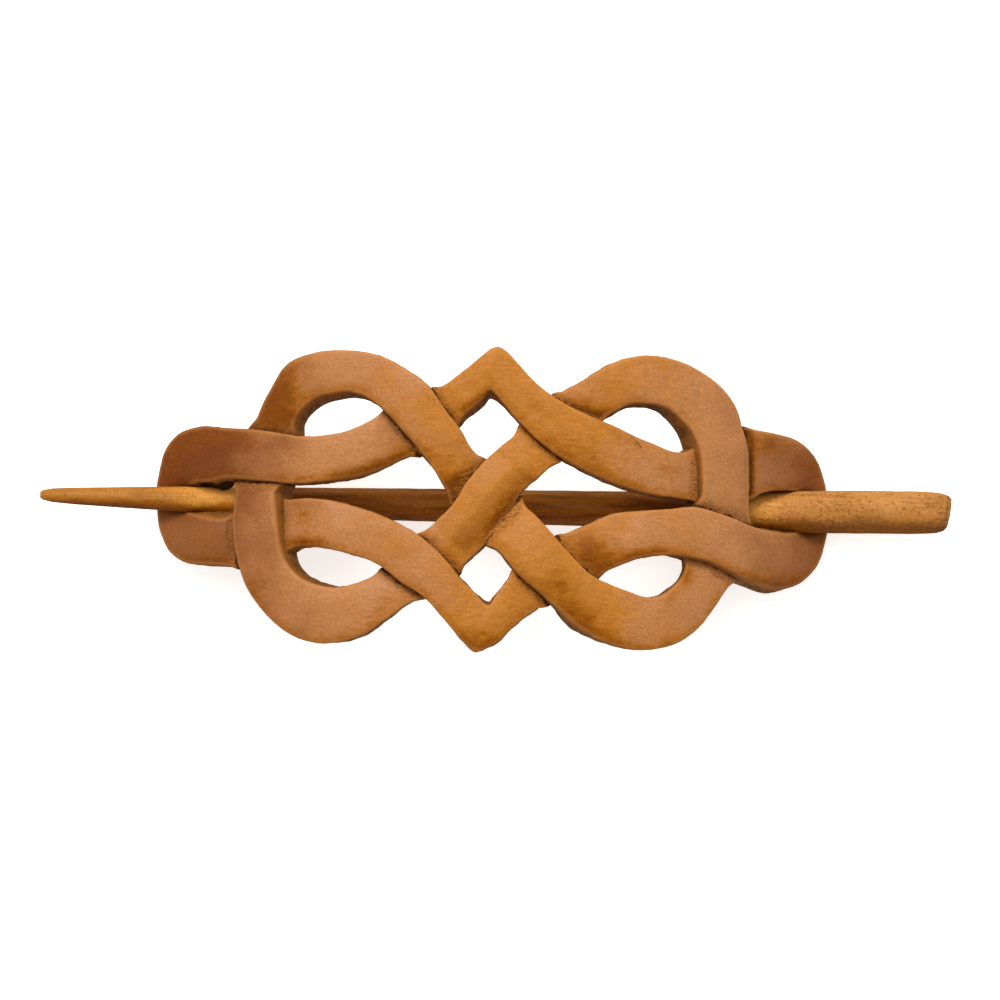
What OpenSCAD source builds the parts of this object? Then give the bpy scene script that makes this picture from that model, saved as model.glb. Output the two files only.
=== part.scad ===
// Wooden barrette: an arched hair slide carved as a two-strand interlace knot, and its tapered hair stick.
// All lengths are in millimetres. X runs along the stick, thick end at +X, Z is up from the table.

/* [Carved slide] */
// Length of the slide from end bar to end bar
slide_length = 110.6; // [109:0.2:113]
// Width of the slide over its two pointed tips
slide_width = 49.5; // [48.5:0.1:51.5]
// Rise of the arch from the ends to the middle
arch_rise = 20; // [18.5:0.5:22]
// Height of the arched top face over the table at the ends
end_height = 3.7; // [3.5:0.1:4]
// Depth of the wood from the arched top face to the back
wood_depth = 4.6; // [4.2:0.1:5]
// How strongly the strands rise and dip at the crossings
weave_relief = 1; // [0.7:0.05:1.1]

/* [Hair stick] */
// Length of the stick from tip to butt
stick_length = 150; // [145:1:160]
// Stick diameter as a share of the drawn one
stick_thickness = 1; // [0.92:0.01:1.02]
// Free space between the stick and the slide
stick_gap = 0.25; // [0.2:0.05:0.35]

/* [View] */
// Piece to draw

/* [Hidden] */

half_span = 55.5;
arch_middle = -0.5;
arch_power = 2.6;
steepest_wall = 0.4;
stick_axis_z = 6.5;
side_shift = 0.24;

crown = 0.3;
edge_share = 0.12;
deepest_dip = 1.8;
back_step = 0.15;
rings_per_row = 2;
floor_size = 200;
joint_overlap = 2;

drawn_stick_length = 150;
stick_sides = 40;

// Cross-section of a strand: across (left edge 1, right edge -1), share of the depth
section = [
    [1, edge_share],
    [0.8, 0],
    [0, 0],
    [-0.8, 0],
    [-1, edge_share],
    [-1, 1],
    [0, 1],
    [1, 1]
];

// The frame strand runs clockwise round the slide. Each row is one rung across it:
// outer x, outer y, inner x, inner y, lift over the arch, extra dip of the inner edge,
// lean of the outer wall, lean of the inner wall (how far its foot stands out, minus is undercut)
left_end_upper = [
    [-56.1, 0.0, -51.2, 0.0, -0.2, 3.2, 0, 0],
    [-55.9, 3.6, -50.9, 1.8, 0.0, 2.4, 0, 0],
    [-55.1, 7.4, -50.2, 2.6, 0.1, 1.0, 0, 0],
    [-52.8, 10.5, -49.2, 3.0, 0.1, 0.3, 0, 0],
    [-48.8, 11.65, -47.4, 3.1, 0.0, 0.0, 0, 0],
    [-44.6, 11.3, -44.0, 3.2, 0.1, 0.0, 0, 0]
];
upper_left_band = [
    [-40.6, 10.95, -40.4, 3.0, 0.5, 0, 0, 0],
    [-36.6, 10.4, -36.8, 2.6, 0.6, 0, 0, 0],
    [-32.4, 9.65, -32.8, 2.0, 0.3, 0, 0, 0],
    [-28.2, 9.8, -28.6, 2.35, 0.0, 0, 0, 0],
    [-24.0, 10.65, -24.4, 2.85, -0.2, 0, 0, 0],
    [-20.2, 12.5, -20.4, 3.8, -0.8, 0, 0, -0.2],
    [-16.6, 14.2, -16.0, 5.9, -1.7, 0, 0, -0.3],
    [-12.6, 16.1, -11.4, 8.3, -1.8, 0, 0, 0],
    [-9.3, 17.8, -7.4, 11.9, -1.4, 0, 0, 0.3]
];
top_point = [
    [-6.0, 20.2, -4.6, 14.2, -0.6, 0, 0, 0.8],
    [-3.3, 22.5, -2.6, 16.0, 0.0, 0, 0, 1.1],
    [-1.3, 24.1, -1.6, 17.2, 0.2, 0, 0, 1.2],
    [-0.2, 24.5, -1.2, 17.5, 0.2, 0, 0, 1.2],
    [1.0, 23.9, -0.7, 17.1, 0.2, 0, 0, 0.8],
    [3.1, 21.8, 0.9, 15.3, 0.2, 0, 0, 0.2],
    [5.9, 18.9, 3.6, 12.3, 0.3, 0, 0, 0]
];
upper_right_band = [
    [8.7, 16.7, 6.4, 9.6, 0.5, 0, 0, 0],
    [12.6, 14.5, 10.2, 6.9, 0.6, 0, 0, 0],
    [16.6, 13.0, 14.0, 5.0, 0.4, 0, 0, 0],
    [20.6, 11.3, 18.2, 3.2, 0.1, 0, 0, 0],
    [25.0, 9.6, 23.0, 1.8, -0.2, 0, 0, 0],
    [29.2, 8.3, 27.8, 1.1, -0.9, 0, 0, 0],
    [33.0, 8.9, 32.4, 0.9, -1.6, 0, 0, 0],
    [37.6, 11.6, 37.8, 1.2, -1.8, 0, 0, 0],
    [41.8, 12.7, 42.2, 2.2, -1.2, 0, 0, 0]
];
right_end = [
    [45.6, 12.3, 45.4, 3.0, -0.4, 0.0, 0, 0],
    [49.4, 11.4, 48.2, 3.3, 0.0, 0.4, 0, 0],
    [52.4, 9.1, 49.6, 2.9, 0.0, 1.2, 0, 0],
    [54.2, 5.0, 50.3, 1.9, -0.4, 3.0, 0, 0],
    [55.0, 0.0, 50.5, 0.0, -1.2, 4.0, 0, 0],
    [54.5, -4.8, 50.2, -2.2, -0.6, 3.0, 0, 0],
    [53.1, -8.9, 49.6, -3.4, -0.1, 1.2, 0, 0],
    [50.0, -12.0, 48.0, -4.0, 0.0, 0.4, 0.2, 0],
    [46.2, -13.1, 45.4, -3.9, 0.1, 0.0, 0.6, 0]
];
lower_right_band = [
    [42.2, -12.1, 41.6, -3.1, 0.4, 0, 0.7, 0],
    [38.0, -10.3, 37.2, -1.6, 0.6, 0, 1.2, 0],
    [33.6, -8.8, 32.6, -0.6, 0.4, 0, 0.8, 0],
    [29.0, -8.5, 28.4, -1.0, 0.1, 0, -0.2, 0],
    [24.6, -8.9, 23.8, -1.5, -0.2, 0, -0.2, 0],
    [20.4, -10.3, 19.4, -2.0, -0.8, 0, -0.2, 0],
    [16.6, -12.1, 14.8, -4.0, -1.6, 0, 0, 0],
    [12.6, -14.2, 10.8, -6.0, -1.8, 0, 0, 0],
    [8.5, -16.5, 6.4, -9.2, -1.6, 0, 0, 0],
    [5.1, -19.1, 3.0, -12.4, -0.8, 0, 0, 0.2]
];
bottom_point = [
    [2.3, -21.6, 0.9, -14.9, -0.1, 0, 0, 0.3],
    [0.1, -23.7, -0.3, -16.8, 0.1, 0, 0, 0.8],
    [-1.6, -24.6, -0.7, -17.4, 0.1, 0, -0.2, 1.0],
    [-2.8, -25.0, -1.0, -17.5, 0.1, 0, -0.2, 1.0],
    [-3.6, -24.5, -1.5, -17.2, 0.1, 0, -0.2, 0.8],
    [-5.6, -22.5, -3.0, -15.7, 0.2, 0, -0.2, 0.3],
    [-8.6, -19.1, -5.4, -13.3, 0.4, 0, -0.1, 0.2]
];
lower_left_band = [
    [-11.8, -15.9, -8.4, -9.8, 0.6, 0, 0, 0],
    [-15.4, -13.6, -11.8, -6.8, 0.6, 0, 0.3, 0],
    [-19.0, -11.0, -15.6, -4.5, 0.3, 0, 0, 0],
    [-23.2, -9.5, -20.2, -2.6, 0.0, 0, -0.2, 0],
    [-27.8, -8.5, -25.4, -1.1, -0.3, 0, -0.2, 0],
    [-31.6, -8.1, -30.4, -0.4, -0.9, 0, 0, 0],
    [-35.6, -8.8, -35.4, -1.0, -1.7, 0, 0, 0],
    [-39.6, -10.6, -39.8, -2.6, -1.8, 0, 0, 0],
    [-43.4, -11.0, -43.6, -3.7, -1.2, 0, 0.2, 0]
];
left_end_lower = [
    [-47.4, -10.9, -46.8, -3.4, -0.3, 0.0, 0.1, 0],
    [-50.8, -10.5, -49.0, -2.9, 0.0, 0.2, -0.1, 0],
    [-53.6, -8.7, -50.2, -2.5, 0.1, 1.0, 0, 0],
    [-55.5, -4.6, -50.9, -1.6, 0.0, 2.4, 0, 0]
];

// The loop strand runs through four round loops. Each row is one rung across it:
// left x, left y, right x, right y, lift over the arch, lean of the left wall, lean of the right wall
upper_left_loop = [
    [-39.4, 13.2, -33.2, 11.8, -1.0, 0, 0],
    [-37.6, 17.2, -32.2, 13.8, -0.1, 0, 0.2],
    [-34.4, 21.4, -30.2, 15.7, 0.1, 0, 0.6],
    [-29.2, 23.4, -27.2, 16.7, 0.1, 0, 0.8],
    [-23.8, 23.6, -23.8, 16.9, 0.1, 0, 0.7],
    [-19.0, 22.6, -20.6, 15.7, 0.2, 0, 0.4],
    [-14.9, 20.4, -17.6, 13.1, 0.4, 0.2, 0.5]
];
falling_diagonal = [
    [-11.4, 17.9, -14.6, 10.0, 0.6, 0.1, 0.6],
    [-8.6, 14.1, -12.0, 6.9, 0.5, 0, 0.3],
    [-6.0, 10.9, -10.0, 4.2, 0.1, 0, 0],
    [-4.3, 8.1, -8.4, 1.7, -0.5, 0, 0],
    [-2.2, 5.6, -6.6, -1.0, -1.3, 0, 0],
    [0.8, 2.5, -4.0, -3.9, -1.8, 0, 0],
    [4.0, -0.7, -1.6, -6.4, -1.3, 0, 0],
    [6.8, -3.1, 0.9, -8.9, -0.3, 0, 0],
    [9.5, -6.0, 3.4, -11.8, 0.5, 0, 0.1],
    [12.8, -9.6, 6.4, -14.3, 0.6, 0, 0.6]
];
lower_right_loop = [
    [15.6, -12.1, 9.6, -17.0, 0.4, 0, 0.1],
    [18.6, -13.5, 13.0, -20.0, 0.2, 0, 0.55],
    [21.8, -14.7, 18.2, -22.9, 0.1, 0, -0.15],
    [25.0, -15.5, 23.8, -24.0, 0.1, 0, -0.3],
    [27.6, -14.8, 28.8, -23.1, 0.0, -0.2, -0.3],
    [29.6, -13.1, 32.5, -20.9, -0.2, -0.6, -0.3],
    [30.8, -11.2, 35.3, -17.6, -0.8, -1.2, -0.2],
    [31.6, -9.0, 37.4, -14.3, -1.5, -1.3, 0]
];
right_upright = [
    [32.5, -5.2, 39.5, -10.6, -1.8, -0.6, 0],
    [33.3, -1.6, 40.8, -5.4, -1.3, 0, 0],
    [33.7, 1.6, 41.3, -0.4, 0.2, 0, 0],
    [33.7, 5.4, 41.2, 4.8, 0.6, 0.2, 0],
    [33.2, 8.9, 41.0, 9.2, 0.6, 1.2, 0]
];
upper_right_loop = [
    [32.2, 11.4, 40.0, 12.9, 0.4, 1.1, 0],
    [30.4, 13.3, 38.5, 16.8, 0.1, 0.7, 0],
    [27.8, 15.3, 35.4, 20.1, 0.1, 0.6, 0],
    [24.8, 16.0, 30.2, 22.8, 0.1, 0.5, 0],
    [21.8, 15.9, 24.4, 23.8, 0.0, 0.6, 0],
    [19.2, 14.7, 19.0, 22.6, -0.3, 0.6, 0],
    [16.6, 13.3, 14.4, 19.9, -1.0, 0, 0]
];
rising_diagonal = [
    [13.8, 10.9, 10.4, 17.4, -1.8, 0, 0],
    [11.4, 8.4, 6.8, 14.4, -1.7, 0, 0],
    [9.6, 6.4, 3.6, 11.0, -1.0, 0, 0],
    [7.1, 3.8, 1.2, 8.8, -0.2, 0, 0],
    [4.2, 1.2, -2.0, 5.8, 0.5, 0, 0],
    [2.4, -1.6, -4.6, 2.6, 0.6, 0.3, 0],
    [0.4, -4.2, -6.8, -1.0, 0.5, 0.5, 0],
    [-1.6, -7.2, -9.0, -3.4, 0.1, 0.3, 0],
    [-4.4, -10.2, -11.8, -6.3, -0.7, 0, 0],
    [-7.4, -12.8, -14.2, -9.0, -1.6, 0, 0]
];
lower_left_loop = [
    [-10.4, -15.2, -16.8, -11.4, -1.7, -0.3, 0],
    [-13.4, -16.9, -19.2, -12.8, -1.0, -0.3, 0.1],
    [-17.4, -19.8, -22.2, -14.1, -0.2, -0.2, 0.3],
    [-21.6, -22.5, -25.4, -14.9, 0.0, -0.1, 0.5],
    [-27.0, -23.9, -28.6, -14.6, 0.1, -0.3, 0.6],
    [-32.2, -22.9, -31.4, -13.5, 0.1, -0.3, 0.6],
    [-36.7, -19.6, -33.6, -11.5, 0.1, -0.1, 0.6]
];
left_upright = [
    [-40.2, -15.1, -34.7, -8.8, 0.3, 0, 0.4],
    [-42.1, -10.0, -35.2, -5.6, 0.6, 0, 0],
    [-42.9, -4.6, -35.6, -2.4, 0.6, 0, 0],
    [-42.6, -0.2, -35.8, 0.6, 0.2, 0, 0],
    [-41.8, 4.2, -35.4, 4.4, -1.3, 0, 0],
    [-40.9, 9.0, -34.4, 8.6, -1.8, 0, 0]
];

frame_strand = concat(
    left_end_upper, upper_left_band, top_point, upper_right_band, right_end,
    lower_right_band, bottom_point, lower_left_band, left_end_lower
);
falling_rows = concat(upper_left_loop, falling_diagonal, lower_right_loop);
rising_rows = concat(right_upright, upper_right_loop, rising_diagonal, lower_left_loop, left_upright);
loop_strand = [
    for (row = concat(falling_rows, rising_rows))
        [row[0], row[1], row[2], row[3], row[4], 0, row[5], row[6]]
];

// Stick outline from the thin tip to the butt: place along X, diameter
stick_outline = [
    [-75.0, 0.9],
    [-74.6, 1.6],
    [-73.0, 2.3],
    [-69.0, 2.8],
    [-62.0, 3.35],
    [-53.0, 4.0],
    [-43.0, 4.7],
    [-26.0, 5.1],
    [-8.0, 5.4],
    [17.0, 5.8],
    [30.0, 6.25],
    [44.0, 6.75],
    [58.0, 7.0],
    [68.0, 7.0],
    [71.5, 6.8],
    [73.4, 6.4],
    [74.5, 5.6],
    [75.0, 4.2]
];

// Height of the arched top face at a place along X, and the way its walls lean
function arch_share(x) = (x - arch_middle) / half_span;
function arch_z(x) = end_height + arch_rise * (1 - pow(abs(arch_share(x)), arch_power));
function arch_steepness(x) = arch_rise * arch_power / half_span * pow(abs(arch_share(x)), arch_power - 1);
function wall_lean(x) = sign(arch_share(x)) * min(arch_steepness(x), steepest_wall);
function wall_way(x) = [wall_lean(x), 0, 1] / norm([wall_lean(x), 0, 1]);

// Smooth run through the rungs of a closed strand
function rung(rows, i) = rows[(i + len(rows)) % len(rows)];
function rung_middle(row) = [row[0] + row[2], row[1] + row[3]] / 2;
function rung_distance(a, b) = norm(rung_middle(b) - rung_middle(a));
function rung_change(a, b) = (b - a) / rung_distance(a, b);
function rung_tangent(rows, i) = (
    rung_change(rung(rows, i - 1), rung(rows, i)) + rung_change(rung(rows, i), rung(rows, i + 1))
) / 2;
function between(a, b, out_a, in_b, t) =
    a * (1 + 2 * t) * (1 - t) * (1 - t)
    + out_a * t * (1 - t) * (1 - t)
    + b * t * t * (3 - 2 * t)
    - in_b * t * t * (1 - t);
function smooth_rungs(rows, steps) = [
    for (i = [0:len(rows) - 1], k = [0:steps - 1])
        let (a = rung(rows, i), b = rung(rows, i + 1), d = rung_distance(a, b))
        between(a, b, d * rung_tangent(rows, i), d * rung_tangent(rows, i + 1), k / steps)
];

// One point of a strand: top face, wall or back, at a place of the cross-section
function across(row, u) = rung_middle(row) + u * [row[0] - row[2], row[1] - row[3]] / 2;
function outward(row) = [row[0] - row[2], row[1] - row[3]] / norm([row[0] - row[2], row[1] - row[3]]);
function lift_at(row, u) = weave_relief * row[4] - row[5] * (1 - u) / 2;
function foot_shift(row, u) = sign(u) * (u > 0 ? row[6] : row[7]) * outward(row);
function strand_point(row, place, depth) =
    let (
        u = place[0],
        share = place[1],
        at = across(row, u) + share * foot_shift(row, u),
        arch = [at[0], at[1], arch_z(at[0])],
        lift = lift_at(row, u),
        top = arch + [0, 0, lift + crown * (1 - u * u)],
        back = arch - depth * wall_way(at[0]) + [0, 0, min(0, lift + deepest_dip)]
    )
    top * (1 - share) + back * share;

// A strand swept through its rungs, either a closed ring or a length with two end faces
module swept_strand(rungs, depth, closed) {
    rings = len(rungs);
    sides = len(section);
    points = [for (row = rungs, place = section) strand_point(row, place, depth)];
    walls = [
        for (i = [0:rings - (closed ? 1 : 2)], j = [0:sides - 1])
            let (
                a = i * sides + j,
                b = i * sides + (j + 1) % sides,
                c = ((i + 1) % rings) * sides + (j + 1) % sides,
                d = ((i + 1) % rings) * sides + j
            )
            each [[a, c, b], [a, d, c]]
    ];
    last = (rings - 1) * sides;
    ends = closed ? [] : [
        for (j = [1:sides - 2])
            each [[0, j, j + 1], [last, last + j + 1, last + j]]
    ];
    polyhedron(points = points, faces = concat(walls, ends));
}

// The loop strand crosses itself, so it is swept as two lengths that meet under the frame strand
module frame_ring() {
    swept_strand(smooth_rungs(frame_strand, rings_per_row), wood_depth, true);
}
module loop_lengths() {
    rungs = smooth_rungs(loop_strand, rings_per_row);
    turn = len(falling_rows) * rings_per_row;
    count = len(rungs);
    falling = [for (i = [-joint_overlap:turn]) rungs[(i + count) % count]];
    rising = [for (i = [turn - joint_overlap:count]) rungs[i % count]];
    swept_strand(falling, wood_depth + back_step, false);
    swept_strand(rising, wood_depth + back_step, false);
}

// A turned bar along X with the stick's outline, grown by a gap on every side
module turned_stick(gap) {
    stretch = stick_length / drawn_stick_length;
    last = stick_outline[len(stick_outline) - 1];
    translate([0, 0, stick_axis_z])
        rotate([0, 90, 0])
            rotate_extrude($fn = stick_sides)
                polygon(concat(
                    [[0, last[0] * stretch], [0, stick_outline[0][0] * stretch]],
                    [for (row = stick_outline) [row[1] * stick_thickness / 2 + gap, row[0] * stretch]]
                ));
}

module carved_slide() {
    color("peru")
        translate([0, side_shift, 0])
            resize([slide_length, slide_width, 0])
                difference() {
                    union() {
                        frame_ring();
                        loop_lengths();
                    }
                    turned_stick(stick_gap);
                    translate([-floor_size / 2, -floor_size / 2, -floor_size])
                        cube(floor_size);
                }
}

module hair_stick() {
    color("goldenrod")
        translate([0, side_shift, 0])
            turned_stick(0);
}

carved_slide();
hair_stick();
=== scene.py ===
# %% [markdown]
# # A carved wooden barrette, its finish and its light
# The object is a hair slide: an arched oval of wood, carved and pierced as a knot of two flat strands, and
# a tapered stick that lies over its two end bars and under its arch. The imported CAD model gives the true
# sizes and the two moving bodies. This lesson carves a finer skin for each piece in the same place, gives
# both an oiled wood finish, and lights them softly on a pale table.

import math

import bpy
import numpy as np
from mathutils import Matrix, Vector
from mathutils.kdtree import KDTree


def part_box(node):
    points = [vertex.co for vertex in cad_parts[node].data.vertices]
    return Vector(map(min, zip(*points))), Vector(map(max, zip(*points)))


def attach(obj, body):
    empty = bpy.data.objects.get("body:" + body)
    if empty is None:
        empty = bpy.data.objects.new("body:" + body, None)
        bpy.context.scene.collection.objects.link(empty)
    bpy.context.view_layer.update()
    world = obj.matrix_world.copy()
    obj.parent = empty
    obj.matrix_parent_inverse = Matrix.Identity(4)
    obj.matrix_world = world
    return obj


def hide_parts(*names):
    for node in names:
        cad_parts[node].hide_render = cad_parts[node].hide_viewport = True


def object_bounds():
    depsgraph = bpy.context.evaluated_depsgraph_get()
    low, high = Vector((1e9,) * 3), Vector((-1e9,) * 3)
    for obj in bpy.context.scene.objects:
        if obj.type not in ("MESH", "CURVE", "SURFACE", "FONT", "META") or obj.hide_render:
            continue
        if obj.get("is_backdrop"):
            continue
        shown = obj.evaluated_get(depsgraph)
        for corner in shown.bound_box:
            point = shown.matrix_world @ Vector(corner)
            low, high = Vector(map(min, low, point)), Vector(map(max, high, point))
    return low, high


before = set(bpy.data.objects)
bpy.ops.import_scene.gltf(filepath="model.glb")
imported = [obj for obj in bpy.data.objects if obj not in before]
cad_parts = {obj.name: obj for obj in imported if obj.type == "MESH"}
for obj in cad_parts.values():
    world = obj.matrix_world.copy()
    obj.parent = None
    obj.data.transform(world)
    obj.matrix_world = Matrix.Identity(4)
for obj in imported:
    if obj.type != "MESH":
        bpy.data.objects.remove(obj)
cad_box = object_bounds()

# %% [markdown]
# ## Units
# Blender works in metres, but a carver thinks in millimetres. Every size below is written in millimetres
# and multiplied by one factor when it becomes a mesh. Both pieces lie a quarter millimetre aside of the
# frame's middle, as in the solid model, so the drawn tables are shifted by that much.

# %% Millimetres
mm = 0.001
ASIDE = 0.24
slide_low, slide_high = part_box("carved_slide")
print("slide, mm:", [round(c / mm, 1) for c in slide_high - slide_low])

# %% [markdown]
# ## The camera
# The barrette was seen from almost straight above, from a long way off, so there is little perspective. A
# long lens from 0.9 m keeps the strands' true outline. The camera leans 4 degrees towards the near side and
# rolls a little over 1 degree, because the barrette lay slightly turned.

# %% Camera
VIEW_DISTANCE = 900 * mm
VIEW_ELEVATION = math.radians(86)
VIEW_ROLL = math.radians(1.15)
VIEW_WIDTH = 164.5 * mm
AIM = Vector((0, ASIDE, 6.6)) * mm
SLIDE_ASIDE = Vector((0.66, 0.82)) * mm
SENSOR = 36


def make_camera():
    data = bpy.data.cameras.new("photo_camera")
    data.sensor_width = SENSOR
    data.lens = SENSOR * VIEW_DISTANCE / VIEW_WIDTH
    data.clip_start, data.clip_end = 0.01, 20
    back = Vector((0, -math.cos(VIEW_ELEVATION), math.sin(VIEW_ELEVATION)))
    plain_up = Vector((0, math.sin(VIEW_ELEVATION), math.cos(VIEW_ELEVATION)))
    right = Vector((math.cos(VIEW_ROLL), 0, 0)) + math.sin(VIEW_ROLL) * plain_up
    up = math.cos(VIEW_ROLL) * plain_up - Vector((math.sin(VIEW_ROLL), 0, 0))
    place = AIM + VIEW_DISTANCE * back + SLIDE_ASIDE.x * right + SLIDE_ASIDE.y * up
    turn = Matrix((right, up, back)).transposed()
    camera = bpy.data.objects.new("photo_camera", data)
    camera.matrix_world = Matrix.Translation(place) @ turn.to_4x4()
    bpy.context.scene.collection.objects.link(camera)
    bpy.context.scene.camera = camera
    return camera


camera = make_camera()
print("lens, mm:", round(camera.data.lens, 1))

# %% [markdown]
# ## Soft light and a pale table
# Wood shows its form by soft gradients. A wide softbox stands high behind the barrette, so the far side of
# each strand is lighter and has a soft sheen, and the near side goes deeper. A weak one hangs overhead, and
# two small ones stand low at the ends and bring out the two caps, which slope away. The sky and the table
# light only what is matt, so they put no veil over the oiled wood. The table is white acrylic with a light
# of its own, as product photographers use it, so the shadows and the pierced holes stay pale.

# %% Table and lights
TABLE_SIZE = 6.0
PALE = (0.93, 0.93, 0.92, 1)
SKY_STRENGTH = 0.50
TABLE_GLOW = 0.68
# name, place in metres, size in metres, power in watts
SOFTBOXES = [
    ("softbox_behind", (-0.25, 0.78, 1.00), (1.00, 0.50), 14.6),
    ("softbox_overhead", (-0.10, 0.34, 1.25), (0.45, 0.35), 1.8),
    ("softbox_right", (0.85, 0.16, 0.46), (0.40, 0.40), 0.9),
    ("softbox_left", (-0.90, 0.20, 0.40), (0.40, 0.40), 0.5),
]


def make_table():
    half = TABLE_SIZE / 2
    mesh = bpy.data.meshes.new("table")
    corners = [(-half, -half, 0), (half, -half, 0), (half, half, 0), (-half, half, 0)]
    mesh.from_pydata(corners, [], [(0, 1, 2, 3)])
    material = bpy.data.materials.new("pale_table")
    material.use_nodes = True
    shader = material.node_tree.nodes["Principled BSDF"]
    shader.inputs["Base Color"].default_value = PALE
    shader.inputs["Roughness"].default_value = 0.9
    shader.inputs["Specular IOR Level"].default_value = 0.1
    shader.inputs["Emission Color"].default_value = PALE
    shader.inputs["Emission Strength"].default_value = TABLE_GLOW
    mesh.materials.append(material)
    table = bpy.data.objects.new("table", mesh)
    bpy.context.scene.collection.objects.link(table)
    table.visible_glossy = False
    table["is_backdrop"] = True
    return table


def make_softbox(name, place, size, power):
    data = bpy.data.lights.new(name, "AREA")
    data.shape = "RECTANGLE"
    data.size, data.size_y = size
    data.energy = power
    lamp = bpy.data.objects.new(name, data)
    lamp.location = place
    lamp.rotation_euler = (-Vector(place)).to_track_quat("-Z", "Y").to_euler()
    bpy.context.scene.collection.objects.link(lamp)
    return lamp


def make_sky(strength):
    world = bpy.data.worlds.new("even_sky")
    world.use_nodes = True
    background = world.node_tree.nodes["Background"]
    background.inputs["Color"].default_value = (1, 1, 1, 1)
    background.inputs["Strength"].default_value = strength
    world.cycles_visibility.glossy = False
    bpy.context.scene.world = world


make_table()
make_sky(SKY_STRENGTH)
for row in SOFTBOXES:
    make_softbox(*row)
bpy.context.scene.view_settings.view_transform = "Standard"
print("lights:", [row[0] for row in SOFTBOXES])

# %% [markdown]
# ## The knot's two strands
# The knot is one piece of wood, but its maker drew it as two strands that weave over and under. One strand
# is a frame that runs once round the oval; the other makes four round loops and two long diagonals. Each is
# drawn as a ladder: every row is one rung across the strand, with the place of its two edges, how far it
# lifts or dips from the arch, and how far each wall's foot stands out. The rungs follow the solid model's,
# so the finer skin keeps its sizes; a few edges stand up to half a millimetre aside, and some walls lean
# otherwise. What a row leaves out at its end is zero.

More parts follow.
